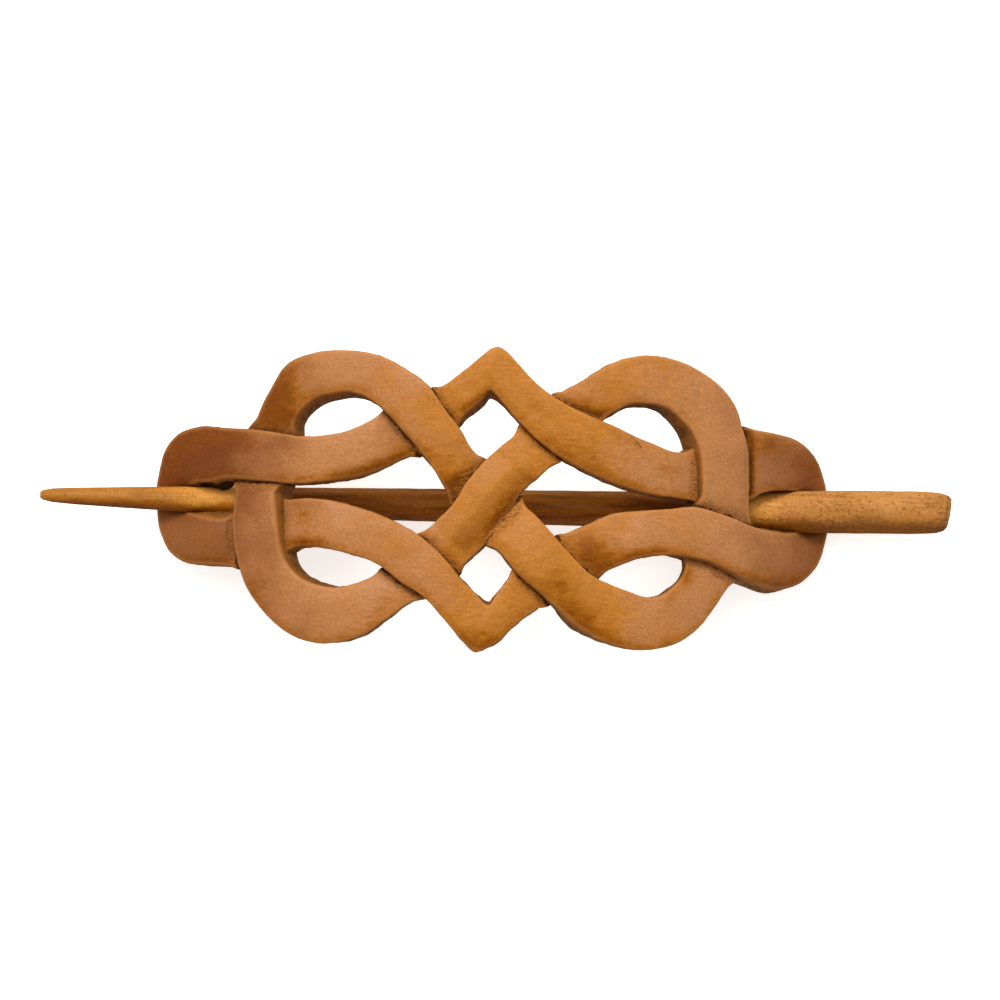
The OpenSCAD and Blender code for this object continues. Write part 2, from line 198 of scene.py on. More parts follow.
# %% Frame strand
# outer x, outer y, inner x, inner y, lift, extra dip of the inner edge, lean of the outer and inner wall
FRAME_STRAND = [
    # left end, upper half
    (-56.1, 0.0, -51.2, 0.0, -0.2, 3.2),
    (-55.9, 3.6, -50.9, 1.8, 0.0, 2.4, 0, 0.4),
    (-55.1, 7.4, -50.2, 2.4, 0.1, 1.0, 0, 1.0),
    (-52.8, 10.5, -49.2, 2.7, 0.1, 0.3, 0, 2.0),
    (-48.8, 11.65, -47.4, 2.6, 0.0, 0.0, 0, 2.0),
    (-44.6, 11.3, -44.0, 3.1, 0.1, 0.0, 0, 0.7),
    # upper left band
    (-40.6, 10.95, -40.4, 2.8, 0.5, 0, 0, 0.8),
    (-36.6, 10.4, -36.8, 2.4, 0.6),
    (-32.4, 9.65, -32.8, 2.0, 0.3),
    (-28.2, 9.8, -28.6, 2.35),
    (-24.0, 10.65, -24.4, 2.85, -0.2),
    (-20.2, 12.5, -20.4, 3.8, -0.8, 0, 0, -0.2),
    (-16.6, 14.2, -16.0, 5.9, -1.7, 0, 0, -0.3),
    (-12.6, 16.1, -11.4, 8.3, -1.8),
    (-9.3, 17.8, -7.4, 11.9, -1.4, 0, 0, 0.3),
    # top point
    (-6.0, 20.2, -4.6, 14.2, -0.6, 0, 0, 0.8),
    (-3.3, 22.5, -2.6, 16.0, 0.0, 0, 0, 1.1),
    (-1.3, 24.1, -1.6, 17.2, 0.2, 0, 0, 1.2),
    (-0.2, 24.5, -1.2, 17.5, 0.2, 0, 0, 1.2),
    (1.0, 23.9, -0.7, 17.1, 0.2, 0, 0, 0.8),
    (3.1, 21.8, 0.9, 15.3, 0.2, 0, 0, 0.2),
    (5.9, 18.9, 3.6, 12.3, 0.3),
    # upper right band
    (8.7, 16.7, 6.4, 9.6, 0.5),
    (12.6, 14.5, 10.2, 6.9, 0.6),
    (16.6, 13.0, 14.0, 5.0, 0.4),
    (20.6, 11.3, 18.2, 3.2, 0.1),
    (25.0, 9.6, 23.0, 1.8, -0.2),
    (29.2, 8.3, 27.8, 1.1, -0.9),
    (33.0, 8.9, 32.4, 0.9, -1.6),
    (37.6, 11.6, 37.8, 1.2, -1.8),
    (41.8, 12.7, 42.2, 2.2, -1.2),
    # right end
    (45.6, 12.3, 45.4, 3.0, -0.4),
    (49.4, 11.4, 48.2, 3.3, 0.0, 0.4, 0, 0.6),
    (52.4, 9.1, 49.6, 2.9, 0.0, 1.2, 0, 0.5),
    (54.2, 5.0, 50.3, 1.9, -0.4, 3.0),
    (55.0, 0.0, 50.5, 0.0, -1.2, 4.0),
    (54.5, -4.8, 50.2, -2.2, -0.6, 3.0),
    (53.1, -8.9, 49.6, -3.4, -0.1, 1.2, 0, 0.8),
    (50.0, -12.0, 48.0, -4.0, 0.0, 0.4, 0.2, 1.3),
    (46.2, -13.1, 45.4, -3.9, 0.1, 0.0, 0.6, 1.0),
    # lower right band
    (42.2, -12.1, 41.6, -3.1, 0.4, 0, 0.7),
    (38.0, -10.3, 37.2, -1.6, 0.6, 0, 1.2),
    (33.6, -8.8, 32.6, -0.6, 0.4, 0, 0.8),
    (29.0, -8.5, 28.4, -1.0, 0.1, 0, -0.2),
    (24.6, -8.9, 23.8, -1.5, -0.2, 0, -0.2),
    (20.4, -10.3, 19.4, -2.0, -0.8, 0, -0.2),
    (16.6, -12.1, 14.8, -4.0, -1.6),
    (12.6, -14.2, 10.8, -6.0, -1.8),
    (8.5, -16.5, 6.4, -9.2, -1.6),
    (5.1, -19.1, 3.0, -12.4, -0.8, 0, 0, 0.2),
    # bottom point
    (2.3, -21.6, 0.9, -14.9, -0.1, 0, 0, 0.3),
    (0.1, -23.7, -0.3, -16.8, 0.1, 0, 0, 0.8),
    (-1.6, -24.6, -0.7, -17.4, 0.1, 0, -0.2, 1.0),
    (-2.8, -25.0, -1.0, -17.5, 0.1, 0, -0.2, 1.0),
    (-3.6, -24.5, -1.5, -17.2, 0.1, 0, -0.2, 0.8),
    (-5.6, -22.5, -3.0, -15.7, 0.2, 0, -0.2, 0.3),
    (-8.6, -19.1, -5.4, -13.3, 0.4, 0, -0.1, 0.2),
    # lower left band
    (-11.8, -15.9, -8.4, -9.8, 0.6),
    (-15.4, -13.6, -11.8, -6.8, 0.6, 0, 0.3),
    (-19.0, -11.0, -15.6, -4.5, 0.3),
    (-23.2, -9.5, -20.2, -2.6, 0.0, 0, -0.2),
    (-27.8, -8.5, -25.4, -1.1, -0.3, 0, -0.2),
    (-31.6, -8.1, -30.4, -0.4, -0.9),
    (-35.6, -8.8, -35.4, -1.0, -1.7),
    (-39.6, -10.6, -39.8, -2.6, -1.8),
    (-43.4, -11.0, -43.6, -3.7, -1.2, 0, 0.2, 1.5),
    # left end, lower half
    (-47.4, -10.9, -46.8, -3.4, -0.3, 0.0, 0.1, 1.7),
    (-50.8, -10.5, -49.0, -2.9, 0.0, 0.2, -0.1, 1.4),
    (-53.6, -8.7, -50.2, -2.5, 0.1, 1.0, 0, 0.9),
    (-55.5, -4.6, -50.9, -1.6, 0.0, 2.4, 0, 0.3),
]
print("rungs of the frame strand:", len(FRAME_STRAND))

# %% Loop strand
# left x, left y, right x, right y, lift, extra dip, lean of the left and right wall
FALLING_LENGTH = [
    # upper left loop
    (-39.4, 12.8, -33.2, 11.8, -1.3),
    (-37.5, 17.0, -32.2, 13.8, -0.6, 0, 0, 0.3),
    (-34.4, 21.6, -30.2, 15.7, 0.0, 0, 0, 0.7),
    (-29.2, 23.4, -27.2, 16.7, 0.1, 0, 0, 0.8),
    (-23.8, 23.6, -23.8, 16.9, 0.1, 0, 0, 0.7),
    (-19.0, 22.6, -20.6, 15.7, 0.2, 0, 0, 0.4),
    (-14.9, 20.4, -17.6, 13.1, 0.4, 0, 0.2, 0.5),
    # falling diagonal
    (-11.4, 17.9, -14.6, 10.0, 0.6, 0, 0.1, 0.6),
    (-8.6, 14.1, -12.0, 6.9, 0.5, 0, 0, 0.3),
    (-6.0, 10.9, -10.0, 4.2, 0.1),
    (-4.3, 8.1, -8.4, 1.7, -0.5),
    (-2.2, 5.6, -6.6, -1.0, -1.3),
    (0.8, 2.5, -4.0, -3.9, -1.8),
    (4.0, -0.7, -1.6, -6.4, -1.3),
    (6.8, -3.1, 0.9, -8.9, -0.3),
    (9.5, -6.0, 3.4, -11.8, 0.5, 0, 0, 0.1),
    (12.8, -9.6, 6.4, -14.3, 0.6, 0, 0, 0.6),
    # lower right loop
    (15.6, -12.1, 9.6, -17.0, 0.4, 0, 0, 0.1),
    (18.6, -13.5, 13.0, -20.0, 0.2, 0, 0, 0.55),
    (21.8, -14.7, 18.2, -22.9, 0.1, 0, 0, -0.15),
    (25.0, -15.5, 23.8, -24.0, 0.1, 0, 0, -0.3),
    (27.6, -14.8, 28.8, -23.1, 0.0, 0, -0.2, -0.3),
    (29.6, -13.1, 32.5, -20.9, -0.2, 0, -0.6, -0.3),
    (30.8, -11.2, 35.3, -17.6, -0.8, 0, -1.2, -0.2),
    (31.6, -9.0, 37.4, -14.3, -1.5, 0, -1.3),
]
RISING_LENGTH = [
    # right upright
    (32.5, -5.2, 39.5, -10.6, -1.8, 0, -0.6),
    (33.3, -1.6, 40.8, -5.4, -1.3),
    (33.7, 1.6, 41.3, -0.4, 0.2, 0, 0.5, 0.1),
    (33.7, 5.4, 41.2, 4.8, 0.6, 0, 0.8, 0.6),
    (33.2, 8.9, 41.0, 9.2, 0.6, 0, 1.2, 0.5),
    # upper right loop
    (32.2, 11.4, 40.0, 12.9, 0.4, 0, 1.1),
    (30.4, 13.3, 38.5, 16.8, 0.1, 0, 0.7),
    (27.8, 15.3, 35.4, 20.1, 0.1, 0, 0.6),
    (24.8, 16.0, 30.2, 22.8, 0.1, 0, 0.5),
    (21.8, 15.9, 24.4, 23.8, 0.0, 0, 0.6),
    (19.2, 14.7, 19.0, 22.6, -0.3, 0, 0.6),
    (16.6, 13.3, 14.4, 19.9, -1.0),
    # rising diagonal
    (13.8, 10.9, 10.4, 17.4, -1.8),
    (11.4, 8.4, 6.8, 14.4, -1.7),
    (9.6, 6.4, 3.6, 11.0, -1.0),
    (7.1, 3.8, 1.2, 8.8, -0.2),
    (4.2, 1.2, -2.0, 5.8, 0.5),
    (2.4, -1.6, -4.6, 2.6, 0.6, 0, 0.3),
    (0.4, -4.2, -6.8, -1.0, 0.5, 0, 0.5),
    (-1.6, -7.2, -9.0, -3.4, 0.1, 0, 0.3),
    (-4.4, -10.2, -11.8, -6.3, -0.7),
    (-7.4, -12.8, -14.2, -9.0, -1.6),
    # lower left loop
    (-10.4, -15.2, -16.8, -11.4, -1.7, 0, -0.3),
    (-13.4, -16.9, -19.2, -12.8, -1.0, 0, -0.3, 0.1),
    (-17.4, -19.8, -22.2, -14.1, -0.2, 0, -0.2, 0.3),
    (-21.6, -22.5, -25.4, -14.9, 0.0, 0, -0.1, 0.5),
    (-27.0, -23.9, -28.6, -14.6, 0.1, 0, -0.3, 0.6),
    (-32.2, -22.9, -31.4, -13.5, 0.1, 0, -0.3, 0.6),
    (-36.7, -19.6, -33.6, -11.5, 0.1, 0, -0.1, 0.6),
    # left upright
    (-40.2, -15.1, -34.9, -8.8, 0.3, 0, 0, 1.2),
    (-42.1, -10.0, -35.6, -5.6, 0.6, 0, 0, 1.5),
    (-42.9, -4.6, -36.1, -2.4, 0.6, 0, 0, 1.6),
    (-42.6, -0.2, -36.2, 0.6, 0.2, 0, 0, 1.2),
    (-41.8, 4.2, -35.4, 4.4, -1.3),
    (-40.9, 9.0, -34.4, 8.6, -1.8),
]
print("rungs of the loop strand:", len(FALLING_LENGTH), "+", len(RISING_LENGTH))

# %% [markdown]
# ## From ladder to wood
# A ladder of 60 to 70 rungs is too coarse for a smooth strand, so a cubic runs through each edge and adds a
# rung about every half millimetre. The cross-section is then laid on each rung: a slightly crowned face,
# rounded edges as a scraper and sandpaper leave them, steep walls and a flat back. All of it is bent over
# the slide's arch.

# %% Arch and rungs
ARCH = {"ends": 3.7, "rise": 20.0, "half_span": 55.5, "middle": -0.5, "power": 2.6, "steepest_wall": 0.4}
RUNG_SPACING = 0.42
RUNG_NUMBERS = 8


def arch_share(x):
    return (x - ARCH["middle"]) / ARCH["half_span"]


def arch_height(x):
    return ARCH["ends"] + ARCH["rise"] * (1 - np.abs(arch_share(x)) ** ARCH["power"])


def wall_direction(x):
    steep = ARCH["rise"] * ARCH["power"] / ARCH["half_span"] * np.abs(arch_share(x)) ** (ARCH["power"] - 1)
    lean = np.sign(arch_share(x)) * np.minimum(steep, ARCH["steepest_wall"])
    way = np.stack([lean, 0 * lean, 1 + 0 * lean], -1)
    return way / np.linalg.norm(way, axis=-1, keepdims=True)


def smooth_rungs(rows, spacing):
    """Rungs at about this spacing on a cubic through the drawn ones, and the number of each drawn rung."""
    rows = np.array([row + (0,) * (RUNG_NUMBERS - len(row)) for row in rows], float)
    middle = (rows[:, 0:2] + rows[:, 2:4]) / 2
    gap = np.linalg.norm(np.roll(middle, -1, 0) - middle, axis=1)[:, None]
    change = (np.roll(rows, -1, 0) - rows) / gap
    tangent = (np.roll(change, 1, 0) + change) / 2
    made, starts = [], []
    for i in range(len(rows)):
        j = (i + 1) % len(rows)
        steps = max(2, math.ceil(gap[i, 0] / spacing))
        t = (np.arange(steps) / steps)[:, None]
        starts.append(sum(len(m) for m in made))
        made.append(
            rows[i] * (1 + 2 * t) * (1 - t) ** 2
            + gap[i] * tangent[i] * t * (1 - t) ** 2
            + rows[j] * t * t * (3 - 2 * t)
            - gap[i] * tangent[j] * t * t * (1 - t)
        )
    return np.concatenate(made), starts


frame_rungs, _ = smooth_rungs(FRAME_STRAND, RUNG_SPACING)
loop_rungs, loop_starts = smooth_rungs(FALLING_LENGTH + RISING_LENGTH, RUNG_SPACING)
print("smooth rungs:", len(frame_rungs), "and", len(loop_rungs))

# %% [markdown]
# ## A hand-carved surface
# A knife and a scraper leave faces that are not quite even. A few slow waves of different directions, added
# together, give the same soft unevenness on every run, with nothing random left to chance.

# %% Soft unevenness
def uneven(points, wavelength, seed, waves=14):
    """A smooth value, mostly from -1 to 1 and at times twice that; the wavelength is in millimetres."""
    chance = np.random.default_rng(seed)
    total = np.zeros(points.shape[:-1])
    for _ in range(waves):
        way = chance.normal(size=points.shape[-1])
        way *= 2 * math.pi / wavelength / np.linalg.norm(way) * chance.uniform(0.6, 1.5)
        total += np.sin(points @ way + chance.uniform(0, 2 * math.pi))
    return total / math.sqrt(waves)


def soft_step(value, low, high):
    t = np.clip((value - low) / (high - low), 0, 1)
    return t * t * (3 - 2 * t)


FLARED_FOOT = (1.7, 1.95)


def wall_reach(lean, share):
    """How far out a wall stands at a share of its depth: a wide foot stays steep above and flares below."""
    return lean * share ** (1 + 2 * soft_step(lean, *FLARED_FOOT))


print("unevenness at the origin:", round(float(uneven(np.zeros((1, 2)), 6, 1)[0]), 2))

# %% [markdown]
# ## Knife facets, grooves and dents
# Besides the even faces, the knife left single cuts that the eye finds at once: a bevel along an edge, a
# ridge where a face turns down under the next strand, a groove beside the right upright. Each facet is a
# line: the wood on its right, seen from above, is pared away at a slope. A groove is a line with a width
# and a depth.

# %% Tables of single cuts
# for each strand: ridge from x, y, to x, y, slope of the wood on its right, how wide, how far its ends fade
KNIFE_FACETS = {
    "falling": [
        (16.0, -13.0, 7.9, -5.4, 0.70, 0.8, 1.4), (-17.3, 13.7, -11.6, 7.6, 0.60, 0.8, 1.4),
        (3.6, -10.9, 9.3, -15.9, 0.60, 0.9, 1.4), (7.5, -14.5, 20.0, -22.0, 0.22, 3.0, 1.4),
    ],
    "rising": [
        (-7.8, -7.0, 3.0, 5.3, 0.42, 3.6, 1.1), (3.0, 5.3, -7.8, -7.0, 0.13, 3.6, 0.5),
        (-2.6, -6.9, 3.3, 1.0, 0.60, 0.8, 1.4), (40.5, -0.8, 40.2, 11.5, 0.80, 0.6, 1.4),
        (-31.0, -16.5, -21.5, -17.2, 0.10, 6.0, 1.4),
    ],
    "frame": [
        (-20.8, 4.6, -20.0, 11.8, 0.16, 4.0, 1.4), (-27.5, 3.9, -15.4, 7.4, 0.42, 2.2, 1.4),
        (-29.0, -1.2, -30.4, -5.9, 0.20, 4.0, 1.4), (-32.4, -6.9, -26.4, -7.4, 0.40, 1.6, 1.4),
        (18.5, 11.3, 9.4, 16.3, 0.55, 0.9, 1.4), (24.5, 7.7, 21.4, 10.4, 0.30, 1.2, 1.4),
        (8.0, 9.5, 25.0, 2.6, 0.14, 3.5, 1.4), (-50.6, -9.4, -43.6, -10.0, 0.60, 0.9, 1.4),
        (3.2, -13.2, 6.2, -9.9, 0.30, 1.6, 1.4), (42.2, 12.4, 42.4, 2.0, 0.90, 1.6, 0.5),
        (30.8, -8.1, 40.0, -11.7, 1.15, 1.5, 0.8), (40.0, -11.7, 48.9, -12.2, 1.10, 1.5, 0.8),
    ],
}
# from x, y, to x, y, half width, depth
GROOVES = {
    "falling": [
        (-3.6, 4.9, -6.6, 1.7, 1.1, 0.35),
    ],
    "rising": [
        (11.0, 15.6, 16.6, 13.7, 0.45, 0.30), (3.1, 5.9, 4.4, 2.3, 0.55, 0.14),
    ],
    "frame": [
        (-43.4, -4.2, -43.0, -10.6, 0.55, 0.45),
    ],
}
# x, y, radius, depth
DENTS = {
    "falling": [
        (-25.0, 20.2, 2.2, 0.10), (24.0, -19.6, 2.4, 0.10),
    ],
    "rising": [
        (36.8, 7.0, 1.2, 0.08), (27.5, 19.6, 2.4, 0.10),
    ],
    "frame": [
        (-4.6, 17.2, 1.3, 0.16), (-51.8, 5.0, 2.0, 0.60), (-29.6, -4.2, 1.4, 0.12),
    ],
}
RIDGE_ROUNDING = 0.25
FACET_REACH = (8, 10)


def count_rows(table):
    return sum(len(rows) for rows in table.values())


def along_line(at, x0, y0, x1, y1):
    """Share of the way along a line, signed distance to its right, and its length, for places in plan."""
    way = np.array([x1 - x0, y1 - y0])
    length = np.linalg.norm(way)
    way = way / length
    off = at - np.array([x0, y0])
    return off @ way / length, off @ np.array([way[1], -way[0]]), length


def cut_away(at, strand):
    """How much the single cuts lower a strand's face at places in plan, in millimetres."""
    depth = np.zeros(at.shape[:-1])
    for x0, y0, x1, y1, slope, wide, faded in KNIFE_FACETS[strand]:
        share, right, length = along_line(at, x0, y0, x1, y1)
        fade = faded / length
        ends = soft_step(share, -fade, fade) * soft_step(1 - share, -fade, fade)
        pared = np.clip(right, 0, wide)
        near = 1 - soft_step(right, *FACET_REACH)
        depth += slope * ends * near * pared * pared / (pared + RIDGE_ROUNDING)
    for x0, y0, x1, y1, half_width, deep in GROOVES[strand]:
        share, right, length = along_line(at, x0, y0, x1, y1)
        beyond = np.clip(np.abs(share - 0.5) - 0.5, 0, None) * length
        depth += deep * np.exp(-(right ** 2 + beyond ** 2) / half_width ** 2)
    for x, y, radius, deep in DENTS[strand]:
        depth += deep * np.exp(-((at - np.array([x, y])) ** 2).sum(-1) / radius ** 2)
    return depth


print("facets:", count_rows(KNIFE_FACETS), "grooves:", count_rows(GROOVES), "dents:", count_rows(DENTS))

# %% [markdown]
# ## Where a strand goes under
# At each of the nine crossings the carver undercut the upper strand with the tip of a knife, which left a
# narrow groove, torn fibres and dirt on the lower strand. For every place on a face, the distance to the
# nearest wall that stands over it says how deep that groove is, and later how dark the band beside it is:
# partly stain, partly painted shade of the strand above.

# %% Distance to the strand above
FAR = 9.0
LEAST_LIFT = 0.45
EDGE_SPACING = 0.15
SAME_STRAND = 12.0
NEARBY = 12.0
FOOT_SHARE = 0.43


def walk(rungs):
    """Millimetres walked along a strand's middle up to each rung."""
    middle = (rungs[:, 0:2] + rungs[:, 2:4]) / 2
    return np.cumsum(np.linalg.norm(middle - np.roll(middle, 1, 0), axis=1))


def edge_list(rows, strand):
    """Both walls of a strand where they meet the strand below: plan, lift, strand, and place along it."""
    rungs, _ = smooth_rungs(rows, EDGE_SPACING)
    across = rungs[:, 0:2] - rungs[:, 2:4]
    outward = across / np.linalg.norm(across, axis=1, keepdims=True)
    left = rungs[:, 0:2] + wall_reach(rungs[:, 6:7], FOOT_SHARE) * outward
    right = rungs[:, 2:4] - wall_reach(rungs[:, 7:8], FOOT_SHARE) * outward
    walked = walk(rungs)
    number = np.full(len(rungs), strand)
    return np.concatenate([np.column_stack([feet, rungs[:, 4], number, walked]) for feet in (left, right)])


edges_above = np.concatenate([edge_list(FRAME_STRAND, 0), edge_list(FALLING_LENGTH + RISING_LENGTH, 1)])


def crossing_distance(at, lifts, walked, strand, full_length):
    """For each place of each ring, millimetres to the nearest edge that passes over it, up to FAR."""
    distance = np.full(at.shape[:2], FAR)
    for i, ring in enumerate(at):
        near = np.abs(edges_above[:, 0:2] - ring.mean(0)).max(1) < NEARBY
        chosen = edges_above[near]
        apart = np.abs((chosen[:, 4] - walked[i] + full_length / 2) % full_length - full_length / 2)
        above = chosen[:, 2] > lifts[i] + LEAST_LIFT
        chosen = chosen[above & ((chosen[:, 3] != strand) | (apart > SAME_STRAND))]
        if len(chosen):
            gaps = ring[:, None] - chosen[None, :, 0:2]
            distance[i] = np.minimum(FAR, np.sqrt((gaps ** 2).sum(-1)).min(1))
    return distance


print("edge points that may pass over a face:", len(edges_above))

# %% [markdown]
# ## Oil patches and torn grain
# The oil did not soak in evenly. It is darker where a face dips, on the outside of the left loop and
# towards both ends. Where the knife ran against the grain, short fibres tore out and took dirt. Four
# tables list soft ovals: oily patches, torn grain, hollows in a wall that get painted shade, and seams that
# stayed clean. Noise in the finish breaks their borders up. The edges that face the near side, away from
# the light, get a darker orange from the section itself: partly oil, partly painted shade.

# %% Tables of patches
# for each strand: x, y, long radius, short radius, turn in degrees, strength
BESIDE_LEFT_SLOT = [(-36.2, 15.6, 6.2, 3.6, 65, 1.35), (-33.2, 12.6, 3.0, 1.4, 0, 0.55)]
OIL_PATCHES = {
    "falling": BESIDE_LEFT_SLOT + [
        (-6.8, 1.6, 3.2, 1.8, 50, 1.30), (-8.6, 6.2, 5.0, 2.2, -55, 0.30),
        (-10.5, 10.2, 5.0, 3.0, -55, 0.15), (14.5, -18.6, 8.0, 2.2, -38, 0.75),
        (10.6, -12.8, 3.2, 2.2, -40, 0.55), (28.6, -15.6, 3.4, 1.0, 60, 0.40),
        (31.0, -11.0, 1.8, 2.6, 0, 0.80),
    ],
    "rising": BESIDE_LEFT_SLOT + [
        (0.9, -2.5, 6.6, 2.2, 52, 0.92), (14.6, 14.6, 4.2, 2.0, -25, 0.80),
        (17.0, 19.0, 3.4, 2.0, 30, 0.35), (-6.6, -8.4, 3.6, 1.8, 50, 0.45),
        (-17.5, -17.5, 3.6, 1.6, 40, 0.35), (-38.6, -14.5, 4.0, 2.0, 75, 0.35),
        (37.4, 0.2, 3.0, 2.6, 0, 0.25), (-38.6, 2.0, 3.4, 2.6, 0, 0.35),
    ],
    "frame": [
        (-52.6, 7.2, 5.5, 3.6, 60, 1.00), (-46.5, 9.6, 9.0, 2.4, -5, 0.80),
        (-47.0, -7.8, 5.0, 3.5, 0, 0.35), (-20.0, 4.2, 7.5, 1.7, 18, 0.60),
        (-14.6, 9.2, 3.4, 2.4, 40, 0.45), (-3.5, 15.0, 3.0, 1.6, 35, 0.60),
        (14.0, 7.6, 8.0, 2.2, -32, 0.50), (6.0, 15.4, 4.0, 1.4, -50, 0.45),
        (19.4, 11.0, 4.4, 1.2, -35, 0.45), (15.6, -8.6, 5.0, 3.6, -50, 1.08),
        (24.0, -8.4, 4.6, 1.4, 10, 0.55), (28.0, 5.5, 2.6, 1.6, 0, 0.50),
        (-2.4, -22.6, 3.4, 2.0, 0, 0.75), (4.0, -15.6, 3.2, 2.0, 45, 0.22),
        (44.4, 10.4, 3.2, 2.2, 0, 0.80), (41.6, 7.2, 0.8, 5.5, 0, 1.00),
        (51.6, 7.4, 3.6, 2.4, -40, 0.65), (47.0, -11.4, 6.0, 1.6, 0, 0.45),
        (-30.2, -7.3, 3.2, 1.0, 5, 0.50), (-31.2, -3.4, 2.2, 3.2, 0, 0.50),
    ],
}
TORN_PATCHES = {
    "falling": [
        (-6.0, 1.6, 2.8, 1.0, 50, 0.8), (2.4, -3.2, 4.2, 1.0, 46, 0.8),
        (36.6, -11.6, 2.8, 0.6, -33, 0.8),
    ],
    "rising": [
        (14.2, 14.2, 4.4, 0.7, -27, 0.7), (6.4, 11.6, 4.4, 0.7, -42, 0.6),
        (-38.6, 3.4, 3.8, 0.6, 0, 0.5), (38.8, -5.0, 3.4, 0.5, -22, 0.5),
    ],
    "frame": [
        (-43.5, -6.9, 0.5, 3.8, 0, 0.4), (31.9, 4.4, 0.6, 3.8, 0, 1.0), (-34.6, -3.8, 0.6, 3.4, 0, 0.9),
        (22.4, 9.6, 3.2, 0.6, -48, 0.7), (-9.0, 13.2, 3.8, 0.6, 50, 0.5),
    ],
}
# painted shade: ovals where a wall's hollow is made as dark as a crossing seam
PAINTED_SHADE_HOLLOWS = {
    "rising": [
        (-35.4, -1.2, 0.9, 3.6, 0, 0.9),
    ],
    "frame": [
        (-46.4, 2.2, 4.2, 1.6, 0, 1.4),
    ],
}
# the last number is the millimetres of seam that stay clean
CLEAN_SEAMS = {
    "falling": [
        (3.0, -2.6, 3.4, 1.4, 46, 0.25),
    ],
    "rising": [
        (38.4, -4.8, 2.6, 1.4, -22, 0.35),
    ],
    "frame": [
        (42.0, 6.4, 5.0, 1.5, 90, 0.55), (-43.2, -6.2, 3.0, 1.5, 90, 0.45),
    ],
}
STRONGEST = 1.4
# partly oil, partly painted shade: a darker orange on edges that face away from the light
EDGE_OIL_AND_SHADE = {"reach": 1.4, "strength": 0.70}


def soft_ovals(at, strand, patches):
    """How strongly the patches of a table cover the places of a strand."""
    total = np.zeros(at.shape[:-1])
    for x, y, long_radius, short_radius, turned, strength in patches.get(strand, ()):
        angle = math.radians(turned)
        off = at - np.array([x, y])
        along = off @ np.array([math.cos(angle), math.sin(angle)]) / long_radius
        aside = off @ np.array([-math.sin(angle), math.cos(angle)]) / short_radius
        total += strength * np.exp(-along ** 2 - aside ** 2)
    return np.clip(total, 0, STRONGEST)


print("oil patches:", count_rows(OIL_PATCHES), "torn patches:", count_rows(TORN_PATCHES))

# %% [markdown]
# ## The strand's cross-section
# Every rung carries the same section: a slightly crowned face, edges that are eased but still clear, steep
# walls, and a flat back with small corners. More points lie near the edges, where the curve is tight.

# %% Section and its waves
WOOD_DEPTH = 4.6
BACK_STEP = 0.15
CROWN = 0.42
DEEPEST_DIP = 1.8
EASED_EDGE = {"width": 0.11, "drop": 0.07}
FACE_POINTS = 29
WALL_POINTS = 8
BACK_POINTS = 5
LOW_ON_WALL = 0.93
BACK_CORNER = [(0.985, 0.975), (0.94, 1.0)]
BACK_HALF_WIDTH = 0.7
FACE_WAVES = [(9.0, 0.085, 11), (3.4, 0.03, 12)]
EDGE_WAVES = [(7.0, 0.035, 21), (2.6, 0.02, 22), (1.1, 0.015, 23)]
WALL_WAVES = [(3.0, 0.07, 41), (1.2, 0.03, 42)]
CROSSING_GROOVE = {"width": 0.85, "depth": 0.26}
CORNER_WEB = {"reach": 1.3, "size": 0.8}
TORN_FIBRES = {"reach": 1.5, "height": 0.04, "patch depth": 0.12, "patch height": 0.05}
GROWN = 0.06


def make_section():
    """Pairs of (place across, share of the depth): the face from left to right, a wall, the back, a wall."""
    across = np.sin(np.linspace(math.pi / 2, -math.pi / 2, FACE_POINTS))
    rounding = np.clip((np.abs(across) - 1 + EASED_EDGE["width"]) / EASED_EDGE["width"], 0, 1)
    face = [(u, EASED_EDGE["drop"] * (1 - math.sqrt(1 - t * t))) for u, t in zip(across, rounding)]
    wall = list(np.linspace(EASED_EDGE["drop"], LOW_ON_WALL, WALL_POINTS)[1:])
    right = [(-1, s) for s in wall] + [(-u, s) for u, s in BACK_CORNER]
    back = [(u, 1.0) for u in np.linspace(-BACK_HALF_WIDTH, BACK_HALF_WIDTH, BACK_POINTS)]
    left = [(u, s) for u, s in reversed(BACK_CORNER)] + [(1, s) for s in reversed(wall)]
    return np.array(face + right + back + left)


SECTION = make_section()
print("points round a strand:", len(SECTION))


# %% Carve one strand
def add_waves(points, waves):
    return sum(size * uneven(points, length, seed) for length, size, seed in waves)


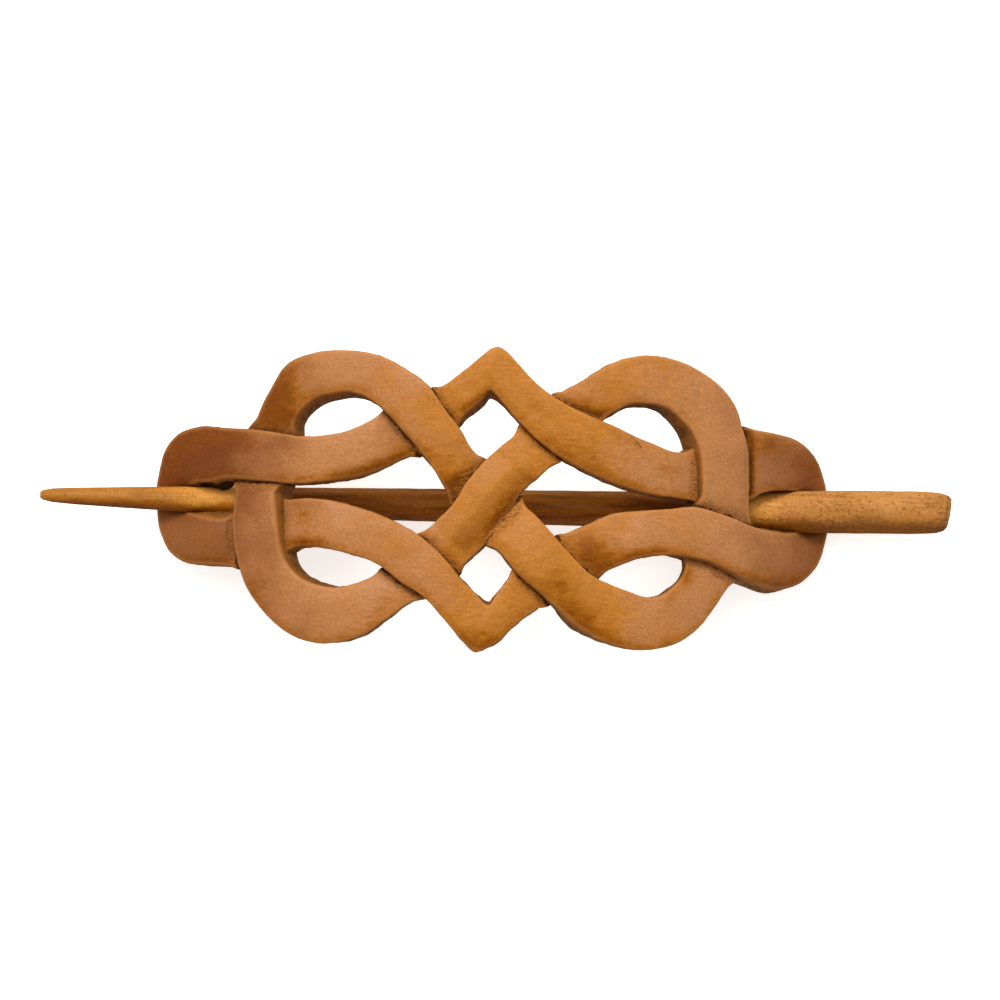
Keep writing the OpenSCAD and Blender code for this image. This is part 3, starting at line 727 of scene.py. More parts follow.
def carve_strand(strand, rungs, walked, depth, full_length):
    """Points of a strand in millimetres, a ring for each rung, and the values that the finish uses."""
    u, share = SECTION[:, 0][None, :, None], SECTION[:, 1][None, :, None]
    left, right = rungs[:, None, 0:2], rungs[:, None, 2:4]
    width = np.linalg.norm(left - right, axis=-1, keepdims=True)
    outward = (left - right) / width
    lean = np.where(u > 0, rungs[:, None, 6:7], rungs[:, None, 7:8])
    at = (left + right) / 2 + u * (left - right) / 2 + u * wall_reach(lean, share) * outward
    edge_share = soft_step(np.abs(u), 0.4, 1) * np.sign(u) * (1 - 0.6 * share)
    at = at + edge_share * outward * add_waves(at, EDGE_WAVES)[..., None]
    lift = rungs[:, None, 4:5] - rungs[:, None, 5:6] * (1 - u) / 2
    crossing = crossing_distance(at, rungs[:, 4], walked, 0 if strand == "frame" else 1, full_length)
    web = CORNER_WEB["size"] * np.exp(-(crossing / CORNER_WEB["reach"]) ** 2)
    at = at + (soft_step(np.abs(u), 0.5, 1) * np.sign(u)) * outward * (GROWN + web)[..., None]
    groove = CROSSING_GROOVE["depth"] * np.exp(-(crossing / CROSSING_GROOVE["width"]) ** 2)
    torn = TORN_FIBRES["height"] * (1 - soft_step(crossing, 0, TORN_FIBRES["reach"]))
    face_height = CROWN * (1 - u[..., 0] ** 2) + add_waves(at, FACE_WAVES) - cut_away(at, strand)
    face_height += torn * uneven(at, 1.1, 51) - groove * (1 + 0.35 * uneven(at, 1.6, 52))
    patch = soft_ovals(at, strand, TORN_PATCHES)
    tear = TORN_FIBRES["patch height"] * uneven(at * [0.5, 1], 0.9, 53) - TORN_FIBRES["patch depth"]
    face_height += patch * tear
    height = arch_height(at[..., :1])
    face = np.concatenate([at, height + lift + face_height[..., None]], -1)
    back = np.concatenate([at, height + np.minimum(0, lift + DEEPEST_DIP)], -1)
    back -= depth * wall_direction(at[..., 0])
    points = face * (1 - share) + back * share
    on_wall = soft_step(share, 0.12, 0.3) * soft_step(1 - share, 0.0, 0.1)
    points[..., :2] += outward * np.sign(u) * on_wall * add_waves(points, WALL_WAVES)[..., None]
    ones = np.ones(at.shape[:-1])
    rim = (1 - np.abs(u[..., 0])) * width[..., 0] / 2
    # painted shade, partly oil: edges that face the near side, away from the light, go darker orange
    faces_down = np.clip(-outward[..., 1] * np.sign(u[..., 0]), 0, 1)
    oil_and_shade_on_near_edges = EDGE_OIL_AND_SHADE["strength"] * faces_down * np.exp(-(rim / EDGE_OIL_AND_SHADE["reach"]) ** 2)
    # painted shade in the listed hollows: the distance to a crossing is cut to nothing there
    hollow_shade = np.clip(soft_ovals(at, strand, PAINTED_SHADE_HOLLOWS), 0, 1) * soft_step(share[..., 0], 0.05, 0.25)
    wall = soft_step(share[..., 0], 0.06, 0.14) * (0.7 + 0.3 * soft_step(share[..., 0], 0.14, 0.6))
    values = {
        "crossing": crossing * (1 - hollow_shade) + soft_ovals(at, strand, CLEAN_SEAMS),
        "oil": np.clip(soft_ovals(at, strand, OIL_PATCHES) + oil_and_shade_on_near_edges, 0, STRONGEST),
        "torn": patch,
        "rim": rim * ones,
        "wall": wall * ones,
    }
    return points, values


def sweep_faces(rings, sides, closed):
    """Quads between neighbouring rings, and one face on each end of an open length."""
    quads = []
    for i in range(rings if closed else rings - 1):
        a, b = i * sides, (i + 1) % rings * sides
        quads += [(a + j, b + j, b + (j + 1) % sides, a + (j + 1) % sides) for j in range(sides)]
    if not closed:
        last = (rings - 1) * sides
        quads.append(tuple(range(sides)))
        quads.append(tuple(last + j for j in reversed(range(sides))))
    return quads


def make_object(name, points, faces):
    mesh = bpy.data.meshes.new(name)
    mesh.from_pydata([tuple(p) for p in np.asarray(points).reshape(-1, 3) * mm], [], faces)
    mesh.validate()
    thing = bpy.data.objects.new(name, mesh)
    bpy.context.scene.collection.objects.link(thing)
    return thing


print("ready to carve")

# %% [markdown]
# ## Three lengths that cross
# The frame is one closed ring. The loop strand crosses itself in the middle, so it is swept in two lengths,
# the falling and the rising one. Each starts a little inside the other, shrunk so that no two skins
# coincide.

# %% Sweep the strands
TAIL_RUNGS = 5
TAIL_SHRINK = 0.35


def shrink_tail(points, rungs):
    """The first rings draw in towards their own middle, so the tail hides inside the wood before it."""
    for i in range(rungs):
        middle = points[i].mean(0)
        away = points[i] - middle
        size = np.linalg.norm(away, axis=-1, keepdims=True)
        points[i] = middle + away * (1 - TAIL_SHRINK * (1 - i / rungs) / size)


surface_points, surface_values = [], []


def make_strand(strand, rungs, walked, depth, full_length):
    points, values = carve_strand(strand, rungs, walked, depth, full_length)
    if strand != "frame":
        shrink_tail(points, TAIL_RUNGS)
    points[..., 1] += ASIDE
    surface_points.append(points.reshape(-1, 3))
    surface_values.append({name: value.reshape(-1) for name, value in values.items()})
    return make_object(strand, points, sweep_faces(len(rungs), len(SECTION), strand == "frame"))


frame_walk, loop_walk = walk(frame_rungs), walk(loop_rungs)
turn = loop_starts[len(FALLING_LENGTH)]
falling_rungs = np.arange(-TAIL_RUNGS, turn + 1) % len(loop_rungs)
rising_rungs = np.arange(turn - TAIL_RUNGS, len(loop_rungs) + 1) % len(loop_rungs)
carved_knot = make_strand("frame", frame_rungs, frame_walk, WOOD_DEPTH, frame_walk[-1])
other_strands = [
    make_strand(name, loop_rungs[chosen], loop_walk[chosen], WOOD_DEPTH + BACK_STEP, loop_walk[-1])
    for name, chosen in (("falling", falling_rungs), ("rising", rising_rungs))
]
print("faces swept:", sum(len(o.data.polygons) for o in [carved_knot] + other_strands))

# %% [markdown]
# ## One piece of wood
# The real slide is carved from one blank, so the strands are joined into one closed skin, and then the
# stick's channel is cut through both end bars and the ends are sawn flat where they stand on the table.
# Booleans join and cut exactly, and leave a crisp line wherever one strand passes over another, as the
# knife does.

# %% Stick outline
# place along the stick, diameter
STICK_OUTLINE = [
    (-75.0, 0.9), (-74.6, 1.6), (-73.0, 2.3), (-69.0, 2.8), (-62.0, 3.35), (-53.0, 4.0), (-43.0, 4.7),
    (-26.0, 5.1), (-8.0, 5.4), (17.0, 5.8), (30.0, 6.25), (44.0, 6.75), (58.0, 7.0), (68.0, 7.0),
    (71.5, 6.8), (73.4, 6.4), (74.5, 5.6), (75.0, 4.2),
]
STICK_AXIS_HEIGHT = 6.5
STICK_GAP = 0.16
STICK_BOW = {"middle": -0.3, "ends": 0.18}
outline_x, outline_width = np.array(STICK_OUTLINE).T


def stick_middle(x):
    """Where the faintly bowed stick's middle lies across the slide, in millimetres."""
    share = (x / outline_x[-1]) ** 2
    return ASIDE + STICK_BOW["middle"] + (STICK_BOW["ends"] - STICK_BOW["middle"]) * share


print("stick:", outline_x[-1] - outline_x[0], "mm long,", outline_width.max(), "mm thick")


# %% Join and cut
SHARP_EDGE = math.radians(46)


def make_channel(sides=48):
    x = np.arange(outline_x[0], outline_x[-1] + 0.5, 1.0)
    radius = np.interp(x, outline_x, outline_width) / 2 + STICK_GAP
    angle = np.arange(sides) / sides * 2 * math.pi
    points = np.stack([
        np.repeat(x[:, None], sides, 1),
        stick_middle(x)[:, None] + radius[:, None] * np.cos(angle),
        STICK_AXIS_HEIGHT + radius[:, None] * np.sin(angle),
    ], -1)
    return make_object("stick_channel", points, sweep_faces(len(x), sides, False))


def make_block_below_table(half=90, deep=30):
    corners = [(x, y, z) for x in (-half, half) for y in (-half, half) for z in (-deep, 0)]
    faces = [(0, 1, 3, 2), (4, 6, 7, 5), (0, 4, 5, 1), (2, 3, 7, 6), (0, 2, 6, 4), (1, 5, 7, 3)]
    return make_object("below_table", np.array(corners, float), faces)


def combine(thing, tool, operation):
    change = thing.modifiers.new(operation, "BOOLEAN")
    change.object, change.operation, change.solver = tool, operation, "MANIFOLD"
    settled = thing.evaluated_get(bpy.context.evaluated_depsgraph_get())
    made = bpy.data.meshes.new_from_object(settled)
    thing.modifiers.clear()
    old = thing.data
    thing.data = made
    bpy.data.meshes.remove(old)
    bpy.data.meshes.remove(tool.data)


for strand in other_strands:
    combine(carved_knot, strand, "UNION")
combine(carved_knot, make_channel(), "DIFFERENCE")
combine(carved_knot, make_block_below_table(), "DIFFERENCE")
carved_knot.name = "carved_knot"
carved_knot.data.name = "carved_knot"
for polygon in carved_knot.data.polygons:
    polygon.use_smooth = True
carved_knot.data.set_sharp_from_angle(angle=SHARP_EDGE)
carved_knot.data.calc_loop_triangles()
print("carved knot triangles:", len(carved_knot.data.loop_triangles))

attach(carved_knot, "slide")
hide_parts("carved_slide")

# %% [markdown]
# ## Surface values for the finish
# The finish needs to know where it is on the knot: how near a crossing or an edge, on a face or a wall, in
# an oily patch or not. Each point of the joined skin takes the values of the nearest swept point. A point
# that no sweep made lies where two skins meet, so its distance to a crossing is nothing. Points farther off
# than half a millimetre lie in a cut, the channel or the sawn feet, and count as wall.

# %% Copy the surface values
CUT_DISTANCE = 0.5
SEAM_DISTANCE = 0.01
SEAM_WALL = 0.3


def copy_surface_values(thing):
    swept = np.concatenate(surface_points)
    values = {name: np.concatenate([v[name] for v in surface_values]) for name in surface_values[0]}
    tree = KDTree(len(swept))
    for number, point in enumerate(swept):
        tree.insert(point, number)
    tree.balance()
    found = [tree.find(vertex.co / mm) for vertex in thing.data.vertices]
    nearest = np.array([number for _, number, _ in found])
    gap = np.array([distance for _, _, distance in found])
    values = {name: value[nearest] for name, value in values.items()}
    values["crossing"] = np.where(gap > SEAM_DISTANCE, 0, values["crossing"])
    values["wall"] = np.where(gap > SEAM_DISTANCE, SEAM_WALL, values["wall"])
    values["wall"] = np.where(gap > CUT_DISTANCE, 1, values["wall"])
    for name, value in values.items():
        layer = thing.data.attributes.new(name, "FLOAT", "POINT")
        layer.data.foreach_set("value", value.astype(np.float32))
    print("surface values:", {name: round(float(value.mean()), 2) for name, value in values.items()})


copy_surface_values(carved_knot)

# %% [markdown]
# ## The stick
# The stick is whittled by hand: nearly round, with a faint bow, shallow flats and a blunt, slightly torn
# end. Rings along its length follow the outline; the flats come from a wave round each ring that turns
# slowly.

# %% Carve the stick
STICK_SIDES = 72
STICK_RING_SPACING = 0.45
BUTT = {"slant": 0.6, "slant from": 70, "torn": 0.045, "torn from": 71.5, "fray": 0.25, "fray from": 73}
FLATS = {"depth": 0.012, "count": 7, "turn": 14}
# stretch along the stick, wavelength, seed, size
STICK_WAVES = [(0.25, 6, 31, 0.012), (0.4, 1.8, 32, 0.006)]


def make_stick():
    inner = np.arange(outline_x[0], outline_x[-1], STICK_RING_SPACING)
    tip = outline_x[0] + np.array([0.02, 0.08, 0.18, 0.32])
    butt = outline_x[-1] - np.array([0.6, 0.32, 0.18, 0.08, 0.02])
    x = np.unique(np.concatenate([inner, tip, butt]))
    radius = np.interp(x, outline_x, outline_width)[:, None] / 2
    angle = (np.arange(STICK_SIDES) / STICK_SIDES * 2 * math.pi)[None, :]
    around = [3 * np.cos(angle) + 0 * radius, 3 * np.sin(angle) + 0 * radius]
    place = np.stack([x[:, None] + 0 * angle] + around, -1)
    flats = FLATS["depth"] * np.cos(FLATS["count"] * angle + x[:, None] / FLATS["turn"])
    rough = sum(
        uneven(place * [along, 1, 1], length, seed) * size for along, length, seed, size in STICK_WAVES
    )

    def towards_end(start):
        return soft_step(x[:, None], start, outline_x[-1])

    lower_side = np.clip(0.3 - np.cos(angle), 0, 1)
    torn = towards_end(BUTT["torn from"]) * lower_side * uneven(place, 0.9, 33) * BUTT["torn"]
    radius = radius * (1 + flats + rough + torn)
    slanted = BUTT["slant"] * towards_end(BUTT["slant from"]) * (1 - np.cos(angle)) / 2
    frayed = BUTT["fray"] * towards_end(BUTT["fray from"]) * uneven(place * [0.2, 1, 1], 0.9, 34)
    points = np.stack([
        x[:, None] - slanted - np.abs(frayed),
        stick_middle(x)[:, None] + radius * np.cos(angle),
        STICK_AXIS_HEIGHT + radius * np.sin(angle),
    ], -1)
    return make_object("carved_stick", points, sweep_faces(len(x), STICK_SIDES, False))


carved_stick = make_stick()
for polygon in carved_stick.data.polygons:
    polygon.use_smooth = len(polygon.vertices) == 4
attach(carved_stick, "stick")
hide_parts("hair_stick")
print("stick faces:", len(carved_stick.data.polygons))

# %% [markdown]
# ## Tools for finishes
# A finish in Blender is a tree of nodes, and small helpers keep the trees readable. Some add a node for a
# sum, a ramp, a noise or a mix of two colours. One starts a node group with named sockets, and one lays
# coats of colour over one another, as a finisher does.

# %% Node helpers
PLACE_SOCKETS = ("Place", "From", "To")


def feed(tree, socket, value):
    if isinstance(value, bpy.types.NodeSocket):
        tree.links.new(value, socket)
    else:
        socket.default_value = value


def put(tree, kind, inputs=(), **settings):
    node = tree.nodes.new("ShaderNode" + kind)
    for name, value in settings.items():
        setattr(node, name, value)
    for name, value in dict(inputs).items():
        feed(tree, node.inputs[name], value)
    return node


def calculate(tree, operation, *values, clamp=False):
    return put(tree, "Math", enumerate(values), operation=operation, use_clamp=clamp).outputs[0]


def times(tree, first, second):
    return calculate(tree, "MULTIPLY", first, second)


def plus(tree, base, value, amount, clamp=False):
    """The base with so much of a value added to it."""
    return calculate(tree, "MULTIPLY_ADD", value, amount, base, clamp=clamp)


def shifted(tree, value, noise_value, amount):
    """The value, with noise added that swings evenly to both sides."""
    return plus(tree, value, calculate(tree, "SUBTRACT", noise_value, 0.5), amount)


def ramp(tree, value, low, high, to_low=0.0, to_high=1.0):
    """Value from low to high becomes to_low to to_high, smoothly and no further."""
    sockets = {"Value": value, "From Min": low, "From Max": high, "To Min": to_low, "To Max": to_high}
    return put(tree, "MapRange", sockets, interpolation_type="SMOOTHSTEP").outputs[0]


def stretched(tree, place, along):
    """A place with its axes scaled, so that noise read there comes out long or short."""
    return put(tree, "VectorMath", {0: place, 1: along}, operation="MULTIPLY").outputs[0]


def noise(tree, place, scale, detail, roughness):
    sockets = {"Vector": place, "Scale": scale, "Detail": detail, "Roughness": roughness}
    return put(tree, "TexNoise", sockets).outputs[0]


def openness(tree, reach):
    """Ambient occlusion: 1 where a place is open to the air, less where wood stands close by."""
    return put(tree, "AmbientOcclusion", {"Distance": reach}, samples=6).outputs["AO"]


def blend_colour(tree, share, first, second, way="MIX"):
    node = put(tree, "Mix", data_type="RGBA", blend_type=way)
    for index, value in ((0, share), (6, first), (7, second)):
        feed(tree, node.inputs[index], value)
    return node.outputs[2]


def lay_coats(tree, colour, *coats):
    """Coats over one another; each is a mask, how much of it covers, and the coat's colour."""
    for mask, cover, coat in coats:
        colour = blend_colour(tree, times(tree, mask, cover), colour, coat)
    return colour


def brighten(tree, colour, value, low, high):
    """Multiply a colour by low to high as a value goes from 0.25 to 0.75."""
    amount = ramp(tree, value, 0.25, 0.75, low, high)
    grey = put(tree, "CombineColor", {0: amount, 1: amount, 2: amount}).outputs[0]
    return blend_colour(tree, 1.0, colour, grey, "MULTIPLY")


def new_group(name, given_names, made_names):
    """A shader node group; its sockets are numbers, apart from the places."""
    tree = bpy.data.node_groups.new(name, "ShaderNodeTree")
    for way, names in (("INPUT", given_names), ("OUTPUT", made_names)):
        for socket_name in names:
            kind = "NodeSocketVector" if socket_name in PLACE_SOCKETS else "NodeSocketFloat"
            tree.interface.new_socket(socket_name, in_out=way, socket_type=kind)
    return tree, tree.nodes.new("NodeGroupInput").outputs, tree.nodes.new("NodeGroupOutput").inputs


def give_out(tree, out, made):
    for name, value in made.items():
        feed(tree, out[name], value)


def use_group(tree, group, **values):
    node = tree.nodes.new("ShaderNodeGroup")
    node.node_tree = group
    for name, value in values.items():
        feed(tree, node.inputs[name.replace("_", " ").capitalize()], value)
    return node.outputs


print("helpers ready")

# %% [markdown]
# ## Grain
# The wood is a close, even fruitwood. Seen near, it has long faint fibres, broad soft clouds where the oil
# took differently, a fine mottle like smooth leather, and in places the growth lines, which the knife laid
# bare as close curved lines. All come from noise in the piece's own space, in one group that both woods
# share.

# %% Wood grain group
def make_grain_group():
    given_names = ("Place", "Fibre length", "Line spacing")
    tree, given, out = new_group("wood_grain", given_names, ("Fibres", "Clouds", "Mottle", "Growth lines"))
    place = given["Place"]
    shorter = calculate(tree, "DIVIDE", 1.0, given["Fibre length"])
    stretch = put(tree, "CombineXYZ", {0: shorter, 1: 1.0, 2: 1.0}).outputs[0]
    fibres = noise(tree, stretched(tree, place, stretch), 2600, 3, 0.6)
    bend = noise(tree, place, 55, 2, 0.4)
    parts = put(tree, "SeparateXYZ", {0: place}).outputs
    bent = plus(tree, plus(tree, parts[1], parts[2], 0.9), bend, 0.016)
    bent = plus(tree, bent, noise(tree, place, 260, 2, 0.5), 0.0024)
    turns = calculate(tree, "DIVIDE", times(tree, bent, 2 * math.pi), given["Line spacing"])
    waves = calculate(tree, "MULTIPLY_ADD", calculate(tree, "SINE", turns), 0.5, 0.5)
    broken = times(tree, waves, ramp(tree, fibres, 0.35, 0.6))
    give_out(tree, out, {
        "Fibres": fibres,
        "Clouds": noise(tree, place, 150, 4, 0.5),
        "Mottle": noise(tree, place, 2300, 3, 0.65),
        "Growth lines": times(tree, broken, ramp(tree, bend, 0.48, 0.60)),
    })
    return tree


grain_group = make_grain_group()
print("group:", grain_group.name, [s.name for s in grain_group.interface.items_tree])

# %% [markdown]
# ## Oil, dirt, wear and painted shade
# Oil and years of handling gather at the crossings and darken them, while raised edges are rubbed lighter.
# The band beside each crossing, the listed hollows and the edges that face away from the light also get
# painted shade. The surface values say where; noise breaks each mask up, so that no border is even.
# Ambient occlusion adds painted shade in corners that no table lists.

# %% Oil, dirt, wear and painted shade group
def make_wear_and_shade_group():
    given_names = ("Place", "Crossing", "Oil", "Torn", "Rim", "Wall")
    made_names = ("Oiled and shaded", "Deep oil", "Stain and shade", "Splintered", "Splinters", "Seam dirt and painted shade", "Packed dirt and painted shade", "Rubbed")
    tree, given, out = new_group("oil_dirt_wear_and_painted_shade", given_names, made_names)
    long_place = stretched(tree, given["Place"], (0.35, 1, 1))
    patchy = noise(tree, given["Place"], 420, 5, 0.65)
    speckled = noise(tree, given["Place"], 1900, 3, 0.7)
    streaky = noise(tree, long_place, 1250, 4, 0.65)
    splinters = noise(tree, long_place, 3300, 3, 0.6)
    # oil patches, and painted shade on the edges that face away from the light
    oil = shifted(tree, shifted(tree, given["Oil"], patchy, 0.8), streaky, 1.1)
    torn = shifted(tree, shifted(tree, given["Torn"], patchy, 1.4), streaky, 1.0)
    beside = shifted(tree, given["Crossing"], patchy, 1.3)
    groove = ramp(tree, shifted(tree, beside, speckled, 1.0), 0.42, 0.02)
    # painted shade: ambient occlusion darkens corners where wood stands close
    corner = ramp(tree, shifted(tree, openness(tree, 2 * mm), speckled, 0.4), 0.60, 0.18)
    edge = ramp(tree, shifted(tree, given["Rim"], speckled, 0.9), 0.75, 0.2)
    give_out(tree, out, {
        "Oiled and shaded": ramp(tree, oil, 0.0, 1.0),
        "Deep oil": ramp(tree, oil, 0.55, 1.30),
        # partly stain, partly painted shade beside the strand above
        "Stain and shade": ramp(tree, shifted(tree, given["Crossing"], patchy, 3.2), 1.9, 0.0),
        "Splintered": ramp(tree, torn, 0.25, 0.75),
        "Splinters": ramp(tree, splinters, 0.32, 0.62),
        "Seam dirt and painted shade": calculate(tree, "MAXIMUM", groove, corner),
        "Packed dirt and painted shade": ramp(tree, shifted(tree, beside, speckled, 0.5), 0.30, 0.08),
        "Rubbed": times(tree, edge, calculate(tree, "SUBTRACT", 1.0, given["Wall"])),
    })
    return tree


wear_and_shade_group = make_wear_and_shade_group()
print("group:", wear_and_shade_group.name, "sockets:", len(wear_and_shade_group.interface.items_tree))

# %% [markdown]
# ## Walls left from the saw
# The walls of the pierced holes were sawn and pared, not sanded. They keep short upright ridges with dirt
# between them.

# %% Sawn wall group
def make_sawn_group():
    tree, given, out = new_group("sawn_wall", ("Place",), ("Ridges",))
    ridges = noise(tree, stretched(tree, given["Place"], (1.0, 1.0, 0.16)), 1100, 4, 0.6)
    give_out(tree, out, {"Ridges": ramp(tree, ridges, 0.32, 0.70)})
    return tree


sawn_group = make_sawn_group()
print("group:", sawn_group.name)

# %% [markdown]
# ## Fine knife marks
# Some marks are too fine to carve into the mesh: torn fibres where the knife ran against the grain before
# the middle crossing, a few creases and scratches. Each is a short line in plan. The group turns a line
# into a mask that is broken up by noise, and the table holds one line for each mark.

# %% Knife mark group and table
def make_mark_group():
    tree, given, out = new_group("knife_mark", ("Place", "From", "To", "Width"), ("Mark",))

    def vector(operation, first, second):
        return put(tree, "VectorMath", {0: first, 1: second}, operation=operation)

    ragged = noise(tree, given["Place"], 900, 3, 0.6)
    way = vector("SUBTRACT", given["To"], given["From"]).outputs[0]
    off = vector("SUBTRACT", stretched(tree, given["Place"], (1, 1, 0)), given["From"]).outputs[0]
    along = vector("DOT_PRODUCT", off, way).outputs["Value"]
    squared = vector("DOT_PRODUCT", way, way).outputs["Value"]
    share = calculate(tree, "DIVIDE", along, squared, clamp=True)
    nearest = put(tree, "VectorMath", {0: way, "Scale": share}, operation="SCALE").outputs[0]
    gap = shifted(tree, vector("DISTANCE", off, nearest).outputs["Value"], ragged, 0.6 * mm)
    give_out(tree, out, {"Mark": ramp(tree, gap, given["Width"], 0.0)})
    return tree


mark_group = make_mark_group()
# from x, y, to x, y, half width
KNIFE_MARKS = [
    (-7.2, 1.7, -5.3, 2.1, 0.15),
    (-7.0, 2.6, -4.5, 3.5, 0.16),
    (-6.6, 3.5, -3.7, 4.7, 0.15),
    (-7.5, 0.7, -6.4, 0.7, 0.14),
    (11.0, 15.5, 16.4, 13.6, 0.26),
    (8.4, -19.0, 16.0, -22.4, 0.22),
    (-3.4, 15.6, -1.6, 17.2, 0.22),
    (31.0, 0.2, 33.6, -0.4, 0.35),
    (21.3, 10.9, 24.3, 7.8, 0.12),
]


def all_knife_marks(tree, place):
    total = None
    for x0, y0, x1, y1, width in KNIFE_MARKS:
        line = {"from": (x0 * mm, (y0 + ASIDE) * mm, 0), "to": (x1 * mm, (y1 + ASIDE) * mm, 0)}
        mark = use_group(tree, mark_group, place=place, width=width * mm, **line)["Mark"]
        total = mark if total is None else calculate(tree, "MAXIMUM", total, mark)
    return total


print("fine marks:", len(KNIFE_MARKS))

# %% [markdown]
# ## The slide's wood
# Oiled fruitwood is tan where it is clean and goes to a saturated orange where it holds oil. The ends,
# where the grain runs out, drink more oil and are the darkest and reddest. Colours go on in this order:
# bare wood, oil with painted shade on the edges away from the light, wear on the edges, stain, torn fibres
# and painted shade at the crossings, the sawn walls, and last the dirt in the grooves with painted shade in
# the corners and hollows.

# %% Carved wood
SIDE_TAN = (0.430, 0.178, 0.060, 1)
CENTRE_GOLD = (0.440, 0.160, 0.022, 1)
# oil, and painted shade on edges that face away from the light
ORANGE_OF_OIL_AND_SHADE = (0.335, 0.102, 0.0015, 1)
DEEP_BROWN = (0.185, 0.046, 0.001, 1)
END_RED = (0.152, 0.035, 0.004, 1)
WALL_BROWN = (0.135, 0.049, 0.009, 1)
WALL_LIGHT = (0.245, 0.098, 0.022, 1)
WALL_TOP = (0.28, 0.100, 0.014, 1)
CROSSING_BROWN = (0.180, 0.056, 0.006, 1)
# stain, and painted shade beside the strand above
STAIN_AND_SHADE_TINT = (0.42, 0.33, 0.22, 1)
TORN_GOLD = (0.42, 0.17, 0.030, 1)
# dirt in the seams, and painted shade in corners and hollows
DIRT_AND_SHADE_BROWN = (0.055, 0.017, 0.002, 1)
# dirt packed in the seams, and painted shade in the listed hollows
PACKED_DIRT_AND_SHADE = (0.020, 0.007, 0.002, 1)
RUBBED_TAN = (0.52, 0.21, 0.055, 1)
MIDDLE_OF_GOLD = 4 * mm
BUMP_DEPTH = 0.1 * mm


def start_wood(name):
    """A new material: itself, its node tree, its shader, and the place on the piece."""
    material = bpy.data.materials.new(name)
    material.use_nodes = True
    tree = material.node_tree
    return material, tree, tree.nodes["Principled BSDF"], put(tree, "TexCoord").outputs["Object"]


def finish_wood(tree, shader, colour, roughness, height, bump_strength):
    """Feed the shader with all that varies over the wood."""
    bump = put(tree, "Bump", {"Height": height, "Strength": bump_strength, "Distance": BUMP_DEPTH})
    for name, value in (("Base Color", colour), ("Roughness", roughness), ("Normal", bump.outputs[0])):
        feed(tree, shader.inputs[name], value)


def end_stain(tree, grain, wear_and_shade, x, y):
    """How dark and red the two ends are; the left one less so below the stick and where deep oil and shade
    lie.
    """
    wandering = shifted(tree, x, grain["Clouds"], 20 * mm)
    left_end = ramp(tree, wandering, -26 * mm, -47 * mm, 0.0, 0.94)
    left_end = times(tree, left_end, ramp(tree, y, -6 * mm, 2 * mm, 0.68, 1.0))
    left_end = times(tree, left_end, ramp(tree, wear_and_shade["Deep oil"], 0.0, 1.0, 1.0, 0.5))
    return calculate(tree, "MAXIMUM", left_end, ramp(tree, wandering, 34 * mm, 54 * mm, 0.0, 0.68))


